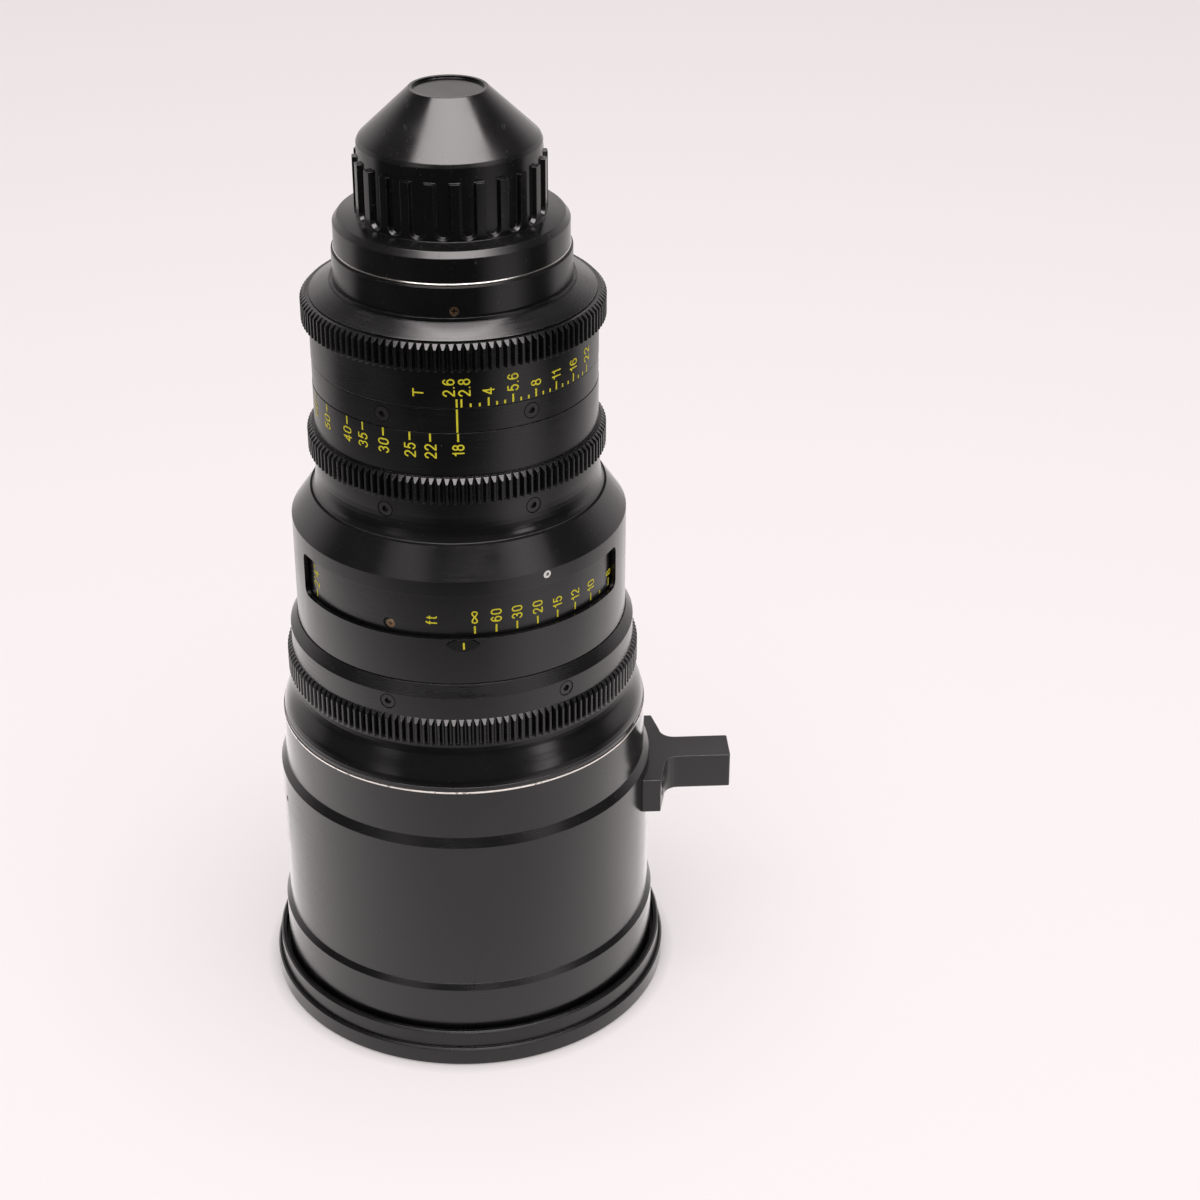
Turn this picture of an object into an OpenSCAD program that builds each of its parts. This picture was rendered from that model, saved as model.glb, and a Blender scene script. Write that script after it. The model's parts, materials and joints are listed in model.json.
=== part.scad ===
// Cinema zoom lens, standing on its front cap.
// The optical axis is +Z. The front looks down and the camera mount is at the top.
// The origin is the middle of the front cap's closed face. The index marks face -Y,
// and the support foot points along +X. Azimuths are counted from -Y towards +X.

/* [Fits] */
// Radial clearance of a turning or sliding fit
run_gap = 0.06; // [0.02:0.01:0.1]
// Radial clearance of a fixed fit
seat_gap = 0.05; // [0.02:0.01:0.1]
// Gap between a turning ring and its fixed neighbour
part_gap = 0.3; // [0.2:0.05:0.5]
// Side clearance of a roller in its cam slot
slot_gap = 0.3; // [0.2:0.05:0.4]

/* [Front cap] */
// Height of the wide lower tier
front_cap_tier_h = 7; // [5:0.5:9]
// Height of the whole cap
front_cap_h = 13.4; // [11:0.2:16]
// Thickness of the closed face
front_cap_floor = 3; // [2:0.25:4]
// Wall at the thin open lip
front_cap_lip = 1.8; // [1.2:0.1:2.4]
// Step in radius between the two tiers
front_cap_step = 1.4; // [0.8:0.1:2.4]
// Width of the dark gap between lip and front ring
front_cap_lip_gap = 1.2; // [0.6:0.1:1.6]
// Height of the bore that grips the front ring
front_cap_grip_h = 6; // [4:0.5:7]

/* [Front ring] */
// Step out from the main barrel to the ring, where a matte box clamps on
front_ring_step = 1.5; // [0.5:0.1:3.5]
// Height of the ring
front_ring_h = 28.2; // [25:0.2:34]
// Height of the bevel at its rear edge
front_bevel_h = 1.9; // [1:0.1:3]
// Wall of the ring at the front thread
front_thread_wall = 3.5; // [3:0.1:4.5]
// Depth of the front thread
front_thread_h = 7; // [5:0.5:9]

/* [Front barrel] */
// Outer radius of the main barrel
barrel_r = 65.5; // [64.8:0.1:66.5]
// Height of the main barrel
barrel_h = 56.7; // [50:0.1:64]
// Height of the bevel above it
barrel_bevel_h = 2.9; // [2:0.1:4]
// Step in from the main barrel to the upper band
barrel_band_step = 1.9; // [1.1:0.1:2.5]
// Height of the upper band
barrel_band_h = 18.2; // [14:0.1:22]
// Wall of the barrel
barrel_wall = 4.5; // [4:0.1:5]
// Distance from the front ring's face to the barrel's nose
nose_setback = 11; // [9.5:0.5:13]
// Height of the concave flare behind the barrel
flare_h = 15.9; // [13:0.1:19]
// Wall of the flare ring
flare_wall = 1.6; // [1.2:0.1:2]

/* [Support foot] */
// How far the foot's end stands out from the barrel
foot_length = 29.1; // [23:0.1:38]
// Width of the curved pad
foot_pad_w = 43.6; // [38:0.2:50]
// Thickness of the pad beyond the barrel at its ends
foot_pad_t = 2.8; // [2:0.1:4]
// Further thickness gained towards the arm
foot_gusset_t = 2.2; // [1.5:0.1:3]
// Width of the arm
foot_arm_w = 13.2; // [12:0.1:16]
// Height of the foot along the axis
foot_h = 13.1; // [12:0.1:16]
// Distance from the foot's rear face to the barrel's bevel
foot_setback = 3.95; // [2:0.05:8]
// Radius of the tapped hole in its end (3/8 inch thread)
foot_hole_r = 3.97; // [3:0.01:4.3]
// Depth of the tapped hole
foot_hole_depth = 14; // [10:0.5:16]

/* [Focus ring] */
// Gear module of all three rings
gear_module = 0.8; // [0.78:0.01:0.82]
// Step in from the main barrel to the tips of the focus gear
focus_gear_step = 4.7; // [3.9:0.4:5.5]
// Height of the focus gear
focus_gear_h = 9.5; // [8:0.1:12]
// Depth from those tips to the plain band
focus_band_step = 1.6; // [0.8:0.1:2.4]
// Height of the plain band
focus_band_h = 8; // [7:0.1:11]
// Height of the bevel above the band
focus_bevel_h = 3.9; // [3:0.1:5]
// Turn of the ring from infinity to the closest focus, in degrees
focus_turn = 299; // [270:1:310]
// Travel of the focusing group
focus_travel = 21; // [18:0.5:23]

/* [Scale housing] */
// Step in from the focus ring's band to the housing
housing_step = 2.7; // [2.2:0.1:3]
// Height of the band below the window
housing_low_h = 16.5; // [14:0.1:19]
// Height of the window
window_h = 15.6; // [12:0.1:18]
// Height of the band above the window
housing_up_h = 5.3; // [4:0.1:7]
// Height of the rear bevel
housing_bevel_h = 9.6; // [8:0.1:11]
// Wall of the housing
housing_wall = 1.5; // [1.3:0.05:1.6]
// Azimuth where the window starts, in degrees
window_from = -67; // [-75:1:-55]
// Azimuth where the window ends, in degrees
window_to = 66; // [55:1:75]

/* [Rear rings] */
// Step out from the rear gears' tips to the neck ring
neck_step = 0.2; // [-0.6:0.1:1.4]
// Height of the neck ring
neck_h = 14.3; // [12:0.1:17]
// Step out from the rear rings' plain bands to the neck's slim part
neck_slim_step = 0.5; // [0.1:0.1:1.3]
// Step in from the scale housing to the tips of the zoom and iris gears
rear_gear_step = 6.9; // [6.1:0.4:7.7]
// Height of the zoom gear
zoom_gear_h = 8.6; // [7:0.1:10]
// Depth from the rear gears' tips to the plain bands
rear_band_step = 2.5; // [2:0.1:2.8]
// Height of the zoom ring's band
zoom_band_h = 15.2; // [13:0.1:18]
// Height of the fixed index ring
index_h = 8; // [7:0.1:10]
// Height of the iris ring's band
iris_band_h = 13.1; // [12:0.1:15]
// Height of the iris gear
iris_gear_h = 8.9; // [8:0.1:10]
// Turn of the zoom ring, in degrees
zoom_turn = 95; // [80:1:105]
// Travel of the variator group
variator_travel = 42; // [36:1:44]
// Travel of the compensator group
compensator_travel = 12; // [8:1:13]

/* [Iris] */
// Turn of the iris ring from open to closed, in degrees
iris_turn = 66; // [55:1:70]
// Swing of each blade from open to closed, in degrees
blade_swing = 35; // [33:0.2:36]
// Distance from the blades' pivots in to the full aperture
aperture_step = 11; // [10.8:0.1:12]
// Width of a blade
blade_w = 9.3; // [8.8:0.1:9.4]
// Thickness of a blade
blade_t = 0.15; // [0.1:0.01:0.16]

/* [Rear end] */
// Height of the shoulder cone
shoulder_h = 3.4; // [2.5:0.1:4.5]
// Step in from the rear rings' bands to the foot of the shoulder cone
shoulder_step = 0.4; // [0:0.1:0.7]
// Step out from the mount collar to the top of the shoulder cone
shoulder_top_step = 1.4; // [1.2:0.1:2.2]
// Height of the small step above the cone
step_h = 1.3; // [1:0.1:2]
// Step out from the mount's base disc to the collar
collar_step = 0.6; // [0.2:0.1:1.2]
// Height of the mount collar
collar_h = 9.5; // [8:0.1:12]

/* [Lens mount] */
// Radius of the steel base disc
mount_base_r = 38.2; // [37.9:0.1:38.6]
// Thickness of the base disc
mount_base_t = 1.1; // [0.9:0.1:1.6]
// Radius of the neck that the camera's lock reaches around
mount_neck_r = 31; // [30:0.1:31.2]
// Height of that neck
mount_neck_h = 3.4; // [3:0.1:4]
// Radius of the four lobes
mount_lobe_r = 35; // [34:0.1:35.2]
// Thickness of the lobes
mount_lobe_t = 2.8; // [2.4:0.1:3.2]
// Radius of the locating tube
mount_tube_r = 27; // [26.5:0.1:27]
// Height of the tube behind the seating face
mount_tube_h = 16.3; // [14:0.1:18]
// Wall of the tube
mount_tube_wall = 2.4; // [2:0.1:2.6]

/* [Rear cap] */
// Step in from the mount's base disc to the cap's skirt
rear_cap_step = 0.2; // [0:0.1:0.6]
// Height of the skirt
rear_cap_skirt_h = 8; // [7.6:0.1:10]
// Radius over the grip ribs
rear_cap_rib_r = 30.8; // [30.4:0.1:31.4]
// Number of grip ribs
rear_cap_ribs = 24; // [20:1:26]
// Width of one rib
rear_cap_rib_w = 2.8; // [2.4:0.1:3.2]
// How much wider a rib is on each side at its root
rear_cap_rib_flare = 0.45; // [0.2:0.05:0.6]
// Height of the ribbed part, from the skirt's edge to the rib tops
rear_cap_rib_h = 21.1; // [18:0.1:24]
// Depth of the grip's grooves
rear_cap_rib_depth = 1.4; // [1:0.1:1.6]
// Height of that plain part
rear_cap_core_h = 5.8; // [4:0.1:8]
// Height of the cone
rear_cap_cone_h = 15.5; // [12:0.1:18]
// Radius of the cone's flat top
rear_cap_top_r = 12.5; // [11.8:0.1:15]
// Wall of the cap
rear_cap_wall = 2; // [1.6:0.1:2.1]

/* [Inner tubes] */
// Depth from the housing's outside in to the main tube, which carries the whole lens
main_tube_inset = 4.5; // [4.4:0.1:4.8]
// Wall of the main tube
main_tube_wall = 2; // [1.8:0.1:2.3]
// Depth from the rear rings' bands in to the rear tube
rear_tube_inset = 4.1; // [3.9:0.05:4.3]
// Wall of the rear tube
rear_tube_wall = 2.5; // [2.3:0.05:2.6]
// Wall of the zoom cam drum
zoom_drum_wall = 2.04; // [1.8:0.02:2.1]
// Wall of the zoom guide tube
guide_wall = 2; // [1.8:0.1:2.2]

/* [Hidden] */
$fn = 96;

// Overrun of every cut past the face that it opens
cut = 1;

// Heights along the axis, from the front cap to the mount
front_z = front_cap_floor;
barrel_z = front_z + front_ring_h;
barrel_bevel_z = barrel_z + barrel_h;
barrel_band_z = barrel_bevel_z + barrel_bevel_h;
flare_z = barrel_band_z + barrel_band_h;
focus_z = flare_z + flare_h + part_gap;
focus_band_z = focus_z + focus_gear_h;
focus_bevel_z = focus_band_z + focus_band_h;
focus_top_z = focus_bevel_z + focus_bevel_h;
housing_z = focus_top_z + part_gap;
window_z = housing_z + housing_low_h;
window_top_z = window_z + window_h;
housing_bevel_z = window_top_z + housing_up_h;
neck_z = housing_bevel_z + housing_bevel_h;
zoom_z = neck_z + neck_h + part_gap;
zoom_band_z = zoom_z + zoom_gear_h;
index_z = zoom_band_z + zoom_band_h + part_gap;
iris_z = index_z + index_h + part_gap;
iris_gear_z = iris_z + iris_band_h;
iris_top_z = iris_gear_z + iris_gear_h;
shoulder_z = iris_top_z + part_gap;
step_z = shoulder_z + shoulder_h;
collar_z = step_z + step_h;
mount_z = collar_z + collar_h;
mount_face_z = mount_z + mount_base_t;
lobe_z = mount_face_z + mount_neck_h;
flange_z = lobe_z + mount_lobe_t;

// Radii of the barrel and of the rings, each tied to its neighbour
front_ring_r = barrel_r + front_ring_step;
front_thread_r = front_ring_r - front_thread_wall;
barrel_band_r = barrel_r - barrel_band_step;
barrel_bore_r = barrel_r - barrel_wall;
foot_reach = barrel_r + foot_length;
focus_teeth = round((barrel_r - focus_gear_step) * 2 / gear_module) - 2;
focus_gear_r = gear_tip_r(focus_teeth);
focus_band_r = focus_gear_r - focus_band_step;
housing_r = focus_band_r - housing_step;
rear_teeth = round((housing_r - rear_gear_step) * 2 / gear_module) - 2;
rear_gear_r = gear_tip_r(rear_teeth);
neck_r = rear_gear_r + neck_step;
rear_band_r = rear_gear_r - rear_band_step;
neck_slim_r = rear_band_r + neck_slim_step;
shoulder_r = rear_band_r - shoulder_step;
collar_r = mount_base_r + collar_step;
shoulder_top_r = collar_r + shoulder_top_step;
rear_cap_r = mount_base_r - rear_cap_step;
rear_cap_core_r = rear_cap_rib_r - rear_cap_rib_depth;

// Radii of the inner layers
main_tube_r = housing_r - main_tube_inset;
rear_tube_r = rear_band_r - rear_tube_inset;
main_bore_r = main_tube_r - main_tube_wall;
focus_drum_bore_r = main_tube_r + run_gap;
housing_bore_r = housing_r - housing_wall;
focus_drum_r = housing_bore_r - part_gap - seat_gap * 2;
rear_bore_r = rear_tube_r - rear_tube_wall;
ring_bore_r = rear_tube_r + run_gap;
fixed_bore_r = rear_tube_r + seat_gap;
zoom_drum_r = rear_bore_r - part_gap - seat_gap * 2;
zoom_drum_bore_r = zoom_drum_r - zoom_drum_wall;
guide_r = zoom_drum_bore_r - run_gap;
guide_bore_r = guide_r - guide_wall;

// Front cap
front_cap_grip_r = front_ring_r + run_gap;
front_cap_lip_r = front_ring_r + front_cap_lip_gap;
front_cap_upper_r = front_cap_lip_r + front_cap_lip;
front_cap_r = front_cap_upper_r + front_cap_step;
front_cap_edge = 0.6;

// Front cell and its element, a meniscus in a stepped ring
nose_z = front_z + nose_setback;
nose_step = 1.5;
nose_r = barrel_r - nose_step;
front_ring_lip = 1.5;
cell_z = nose_z - 2 * front_cap_edge - nose_step / 2;
cell_h = 22;
sleeve_z = cell_z + cell_h;
sleeve_flange_t = 5;
ledge_z = sleeve_z + sleeve_flange_t;
ledge_t = 4;
ledge_w = 4.2;
cell_ledge_t = 4;
front_glass_inset = 7;
front_glass_r = barrel_bore_r - front_glass_inset;
front_glass_sphere_r = 150;
front_glass_back_r = 90;
front_glass_t = 22;
front_glass_z = sleeve_z - cell_ledge_t - front_glass_t;
front_glass_land = 4;
retainer_t = 4;
retainer_w = 3.5;

// Support foot
foot_z = barrel_bevel_z - foot_setback - foot_h;
foot_fillet_r = 5.2;
foot_edge = 0.4;
foot_screw_y_share = 0.36;
foot_screw_head_r = 3.4;
foot_screw_head_t = 2.2;
foot_screw_shank_r = 1.9;
foot_head_x = barrel_r + foot_pad_t;

// Small blind hole in the barrel's side
side_hole_r = 1.1;
side_hole_depth = 2;
side_hole_az = -75.4;
side_hole_drop = 9.9;

// Focus drums, cam and followers
focus_drum_z = ledge_z + part_gap;
drum_joint_z = focus_z + focus_gear_h / 2;
scale_drum_top_z = window_top_z + housing_up_h / 2;
follower_r = 2;
follower_slot_r = follower_r + slot_gap;
focus_cell_h = 28;
focus_cell_z = flare_z - focus_cell_h - barrel_band_h * 0.8;
focus_follower_z = focus_cell_z + focus_cell_h / 2;
focus_glass_inset = 5;
focus_glass_r = main_bore_r - focus_glass_inset;

// Rear end of the main tube, where the rear tube is screwed on
rear_flange_t = 4;
rear_flange_z = housing_bevel_z - rear_flange_t;
rear_boss_h = 8;
rear_boss_w = 7.5;
rear_boss_r = main_tube_r - rear_boss_w;
housing_web_z = rear_flange_z + rear_flange_t;
frame_screw_head_r = 2;
frame_screw_head_t = 2;
frame_screw_shank_r = 1.2;
frame_screws = 6;
front_frame_screw_r = barrel_bore_r - frame_screw_head_r - part_gap - 2 * seat_gap;
rear_frame_screw_r = (rear_boss_r + neck_r) / 2;

// Window of the scale housing
window_corner_r = 2.6;
index_plate_w = 11;
index_plate_h = 4.6;
index_plate_t = 0.5;
index_plate_drop = 2;
set_screw_r = 1.4;
set_screw_az = 29.4;
set_screw_z = housing_bevel_z - set_screw_r - part_gap;

// Visible screws
screw_head_r = 2.5;
screw_head_t = 1.3;
screw_shank_r = 1.2;
screw_recess = 0.15;
socket_share = 0.5;
socket_depth_share = 0.7;
cross_share = 0.66;
cross_w_share = 0.24;
screw_bite = 1.5;
ring_screws = 6;
focus_screw_az = 34.75;
focus_screw_z = focus_bevel_z - focus_band_h * 0.42;
neck_screw_z = neck_z + neck_h * 0.685;
index_screw_z = index_z + index_h * 0.525;
rear_screw_az = 30;
collar_screws = 3;
collar_screw_head_r = 1.5;
collar_screw_z = collar_z + collar_h * 0.2;

// Zoom guide, drum and groups
guide_ring_t = 4;
guide_ring_z = flare_z - guide_ring_t - part_gap * 2;
guide_flange_t = 3;
iris_base_z = index_z + index_h - guide_ring_t / 6;
guide_flange_z = iris_base_z - guide_flange_t;
zoom_pin_r = 2;
zoom_pin_z = zoom_band_z + zoom_band_h / 2;
zoom_pin_az = 150;
pin_cover = 0.6;
variator_cell_h = 18;
variator_cell_z = guide_ring_z + guide_ring_t + variator_cell_h / 3;
variator_follower_z = variator_cell_z + variator_cell_h / 2;
variator_glass_inset = 7;
variator_glass_r = guide_bore_r - variator_glass_inset;
compensator_cell_h = 16;
compensator_cell_z = neck_z + compensator_cell_h / 6;
compensator_follower_z = compensator_cell_z + compensator_cell_h / 2;
compensator_glass_inset = 8;
compensator_glass_r = guide_bore_r - compensator_glass_inset;
cell_land = 2;
followers = 3;
follower_az = 30;
slot_end_share = 1.05;
window_end_share = 1.004;
slot_steps_focus = 30;
slot_steps_zoom = 20;

// Iris
blades = 9;
iris_base_t = 3.5;
blade_air = 0.05;
blade_pitch = blade_t + blade_air;
blade_z = iris_base_z + iris_base_t + blade_air;
cam_plate_z = blade_z + blades * blade_pitch + part_gap;
cam_plate_t = 3;
cam_groove_depth = 1.8;
pivot_inset = 7;
pivot_circle_r = rear_bore_r - pivot_inset;
aperture_r = pivot_circle_r - aperture_step;
pivot_pin_r = 0.8;
drive_pin_r = 0.7;
drive_pin_az = 12;
blade_arc = 130;
blade_root_az = 17;
blade_root_back_az = 5;
blade_root_w = 2.1;
blade_root_r = pivot_circle_r + blade_root_w;
iris_pin_r = 1.1;
iris_pin_az = -150;
iris_pin_tip_r = rear_bore_r - screw_bite * 2;
groove_gap = 0.12;
groove_half_w = drive_pin_r + groove_gap;
groove_steps = 12;
blade_steps = 24;

// Rear cell
web_z = shoulder_z + step_h - part_gap / 3;
web_inset = 3.5;
web_bore_r = pivot_circle_r - web_inset;
step_w = 1;
spigot_h = 4.5;
spigot_w = 4;
rear_cell_r = web_bore_r - seat_gap;
rear_cell_z = cam_plate_z + cam_plate_t + part_gap;
rear_cell_flange_t = 4;
mount_bore_r = mount_tube_r - mount_tube_wall;
rear_cell_slim_r = mount_bore_r - seat_gap * 2;
rear_cell_setback = 2;
rear_cell_top_z = flange_z + mount_tube_h - rear_cell_setback;
rear_cell_lip = 1.5;
relay_seat_z = rear_cell_z + rear_cell_flange_t * 3;
rear_seat_z = rear_cell_top_z - rear_cell_flange_t * 3;
relay_glass_inset = 5;
relay_glass_r = web_bore_r - relay_glass_inset;
relay_glass_land = 8;
rear_glass_r = 20;
rear_glass_land = 2.5;

// Lens mount lobes and screws
lobe_gap_az = 38;
index_slot_w = 3;
index_slot_depth = 2.2;
mount_screw_head_r = 1.7;
mount_screw_head_t = 1.3;
mount_screw_shank_r = 1;

// Rear cap
rear_cap_bore_r = mount_lobe_r + 2 * part_gap;
rear_cap_floor_z = flange_z + part_gap;
rear_cap_shelf_z = mount_face_z + rear_cap_skirt_h;
rear_cap_rib_z = mount_face_z + rear_cap_rib_h + rear_cap_skirt_h;
rear_cap_core_z = rear_cap_rib_z + rear_cap_core_h;
rear_cap_top_z = rear_cap_core_z + rear_cap_cone_h;
rear_cap_bevel_w = 1.5;
rear_cap_bevel_h = 1.9;
rear_cap_shelf_h = 0.8;
rear_cap_foot_h = 1.3;
rear_cap_dish_w = 1.1;
rear_cap_dish_t = 0.8;
rear_cap_round = 1.2;
rear_cap_root_r = rear_cap_core_r - rear_cap_round / 2;
rear_cap_grip_az = 2.3;
mount_screw_r = (mount_neck_r + rear_cap_bore_r) / 2;

// Colours
anodised = [0.05, 0.05, 0.055];
plastic = [0.03, 0.03, 0.03];
bare = [0.62, 0.62, 0.6];
steel = [0.72, 0.72, 0.7];
brass = [0.7, 0.55, 0.28];
foot_grey = [0.13, 0.13, 0.14];
coated_glass = [0.35, 0.45, 0.55, 0.4];

// Depth of a sphere's cap of radius s at distance r from its middle
function sag(s, r) = s - sqrt(s * s - r * r);

// A point at azimuth a, as seen in plan
function spot(r, a) = [r * sin(a), -r * cos(a)];

module turned(points) {
    rotate_extrude() polygon(points);
}

// A plain tube between two heights
module tube(r_in, r_out, z0, z1) {
    turned([[r_in, z0], [r_out, z0], [r_out, z1], [r_in, z1]]);
}

// A solid disc or rod between two heights
module disc(r, z0, z1) {
    translate([0, 0, z0]) cylinder(r = r, h = z1 - z0);
}

// Places a child so that its own Z points outward at azimuth a and height z
module outward(a, z) {
    rotate([0, 0, a]) translate([0, 0, z]) rotate([90, 0, 0]) children();
}

module around(count, start) {
    for (i = [0:count - 1]) rotate([0, 0, start + i * 360 / count]) children();
}

// A band of a ring between two azimuths and two heights
module ring_sector(r_in, r_out, z0, z1, from, to) {
    rotate([0, 0, from - 90])
        rotate_extrude(angle = to - from)
            polygon([[r_in, z0], [r_out, z0], [r_out, z1], [r_in, z1]]);
}

// Cross recess of a small screw, as the cutter that sinks it
module cross_recess(head_r, depth) {
    arm = head_r * cross_share;
    half_w = arm * cross_w_share;
    corners = [[arm, -half_w], [arm, half_w], [half_w, half_w]];
    linear_extrude(depth) polygon([for (a = [0:90:270], q = corners)
        [q[0] * cos(a) - q[1] * sin(a), q[0] * sin(a) + q[1] * cos(a)]]);
}

// Screw along Z, with the face of its head at one height and its tip at another
module screw(face, tip, head_r, head_t, shank_r, cross = false) {
    difference() {
        union() {
            translate([0, 0, face - head_t]) cylinder(r = head_r, h = head_t);
            translate([0, 0, tip]) cylinder(r = shank_r, h = face - tip - head_t / 2);
        }
        translate([0, 0, face - head_t * socket_depth_share]) {
            if (cross) cross_recess(head_r, head_t);
            else cylinder(r = head_r * socket_share, h = head_t, $fn = 6);
        }
    }
}

// The hole for such a screw, with a counterbore for its head
module screw_hole(face, tip, head_r, head_t, shank_r) {
    translate([0, 0, face - head_t]) cylinder(r = head_r + seat_gap, h = head_t + cut);
    translate([0, 0, tip - seat_gap]) cylinder(r = shank_r + seat_gap, h = face - tip);
}

// The visible ring screws, and the holes that they sit in
module ring_screw(band_r, tip_r) {
    screw(band_r - screw_recess, tip_r, screw_head_r, screw_head_t, screw_shank_r);
}

module ring_screw_hole(band_r, tip_r) {
    screw_hole(band_r - screw_recess, tip_r, screw_head_r, screw_head_t, screw_shank_r);
}

// Outline of a spur gear: each tooth has its root, flanks and tip
tooth_az_shares = [-0.4, -0.25, -0.12, 0.12, 0.25, 0.4];
tooth_depth_shares = [-1.25, 0, 1, 1, 0, -1.25];

function gear_tip_r(teeth) = gear_module * (teeth + 2) / 2;

function gear_outline(teeth) = [for (i = [0:teeth - 1], k = [0:5])
    let (r = gear_module * (teeth / 2 + tooth_depth_shares[k]))
    let (a = (i + tooth_az_shares[k]) * 360 / teeth)
    [r * cos(a), r * sin(a)]];

// Toothed ring between two heights, with a light edge in front and a deep bevel behind
gear_edge_share = 0.3;
gear_bevel_share = 1.9;

module gear(teeth, z0, h) {
    tip = gear_tip_r(teeth);
    edge = gear_module * gear_edge_share;
    bevel = gear_module * gear_bevel_share;
    intersection() {
        translate([0, 0, z0]) linear_extrude(h) polygon(gear_outline(teeth));
        turned([[0, z0], [tip - edge, z0], [tip, z0 + edge], [tip, z0 + h - bevel],
            [tip - bevel, z0 + h], [0, z0 + h]]);
    }
}

// One cross-section of a slot that winds around a drum, square to the slot's slope
function slot_ring(r0, r1, half_w, a, z, slope) = let (dz = half_w * cos(slope))
    let (da = half_w * sin(slope) * 360 / (PI * (r0 + r1)))
    [[r0, a + da, z + dz], [r1, a + da, z + dz], [r1, a - da, z - dz], [r0, a - da, z - dz]];

// Slot that starts at azimuth 0 and winds backwards by a turn, while it rises.
// Its round ends are a little wider than the slot, as an entry for the cutter.
module winding_slot(r_in, r_out, half_w, turn, rise, steps) {
    r0 = r_in - cut;
    r1 = r_out + cut;
    slope = atan2(rise, turn * PI * (r_in + r_out) / 360);
    rings = [for (i = [0:steps]) slot_ring(r0, r1, half_w, -turn * i / steps, rise * i / steps, slope)];
    points = [for (ring = rings, q = ring) [q[0] * sin(q[1]), -q[0] * cos(q[1]), q[2]]];
    sides = [for (i = [0:steps - 1], k = [0:3]) let (b = 4 * i)
        [b + k, b + (k + 1) % 4, b + 4 + (k + 1) % 4, b + 4 + k]];
    ends = [[3, 2, 1, 0], [for (k = [0:3]) 4 * steps + k]];
    polyhedron(points, concat(sides, ends));
    for (share = [0, 1]) outward(-turn * share, rise * share) translate([0, 0, r0])
        cylinder(r = half_w * slot_end_share, h = r1 - r0);
}

// Straight slot along the axis through a tube's wall
module guide_slot(r_in, r_out, half_w, z0, z1) {
    translate([-half_w, -r_out - cut, z0]) cube([2 * half_w, r_out - r_in + 2 * cut, z1 - z0]);
    outward(0, z0) translate([0, 0, r_in - cut]) cylinder(r = half_w, h = r_out - r_in + 2 * cut);
    outward(0, z1) translate([0, 0, r_in - cut]) cylinder(r = half_w, h = r_out - r_in + 2 * cut);
}

// Slot around a tube's wall that a drive pin moves in, from azimuth a0 to a1
module turn_slot(r_in, r_out, half_w, z, a0, a1) {
    ring_sector(r_in - cut, r_out + cut, z - half_w, z + half_w, a0, a1);
    for (a = [a0, a1]) outward(a, z) translate([0, 0, r_in - cut])
        cylinder(r = half_w * slot_end_share, h = r_out - r_in + 2 * cut);
}

// A lens in its ring: flat rim, and two spherical faces that bulge out (+) or in (-)
module element(r, z0, z1, low_bulge_r, high_bulge_r, land) {
    inner = r - land;
    low = low_bulge_r == 0 ? 0 : sign(low_bulge_r) * sag(abs(low_bulge_r), inner);
    high = high_bulge_r == 0 ? 0 : sign(high_bulge_r) * sag(abs(high_bulge_r), inner);
    difference() {
        union() {
            translate([0, 0, z0]) cylinder(r = r, h = z1 - z0);
            if (low > 0) dome(inner, z0, -1, low_bulge_r, low);
            if (high > 0) dome(inner, z1, 1, high_bulge_r, high);
        }
        if (low < 0) dome(inner, z0, 1, -low_bulge_r, -low);
        if (high < 0) dome(inner, z1, -1, -high_bulge_r, -high);
    }
}

// The part of a sphere that stands on a plane at z, on its upper (1) or lower (-1) side.
// It runs on through the plane by the overrun of a cut.
module dome(r, z, side, sphere_r, height) {
    intersection() {
        translate([0, 0, z + side * (height - sphere_r)]) sphere(r = sphere_r);
        translate([0, 0, side > 0 ? z - cut : z - height]) cylinder(r = r, h = height + cut);
    }
}

module front_cap() {
    color(plastic) turned([
        [0, 0], [front_cap_r - front_cap_edge, 0], [front_cap_r, front_cap_edge],
        [front_cap_r, front_cap_tier_h - front_cap_edge], [front_cap_r - front_cap_edge, front_cap_tier_h],
        [front_cap_upper_r, front_cap_tier_h], [front_cap_upper_r, front_cap_h - front_cap_edge],
        [front_cap_upper_r - front_cap_edge, front_cap_h], [front_cap_lip_r, front_cap_h],
        [front_cap_lip_r, front_z + front_cap_grip_h], [front_cap_grip_r, front_z + front_cap_grip_h],
        [front_cap_grip_r, front_z], [0, front_z]
    ]);
}

module front_ring() {
    top_r = barrel_r;
    color(anodised) turned([
        [front_thread_r, front_z], [front_ring_r, front_z], [front_ring_r, barrel_z - front_bevel_h],
        [top_r, barrel_z], [nose_r + seat_gap, barrel_z], [nose_r + seat_gap, nose_z],
        [nose_r - front_ring_lip, nose_z], [nose_r - front_ring_lip, front_z + front_thread_h],
        [front_thread_r, front_z + front_thread_h]
    ]);
}

module front_barrel() {
    ledge_r = barrel_bore_r - ledge_w;
    color(anodised) difference() {
        turned([
            [barrel_bore_r, nose_z], [nose_r, nose_z], [nose_r, barrel_z], [barrel_r, barrel_z],
            [barrel_r, barrel_bevel_z], [barrel_band_r, barrel_band_z], [barrel_band_r, flare_z],
            [barrel_bore_r, flare_z], [barrel_bore_r, ledge_z + ledge_t], [ledge_r, ledge_z + ledge_t],
            [ledge_r, ledge_z], [barrel_bore_r, ledge_z]
        ]);
        outward(side_hole_az, barrel_bevel_z - side_hole_drop)
            disc(side_hole_r, barrel_r - side_hole_depth, barrel_r + cut);
        foot_screw_places() foot_screw_hole();
        around(frame_screws, 0) translate([front_frame_screw_r, 0, ledge_z - cut])
            cylinder(r = frame_screw_shank_r + seat_gap, h = ledge_t * 0.75 + cut);
    }
}

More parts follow.
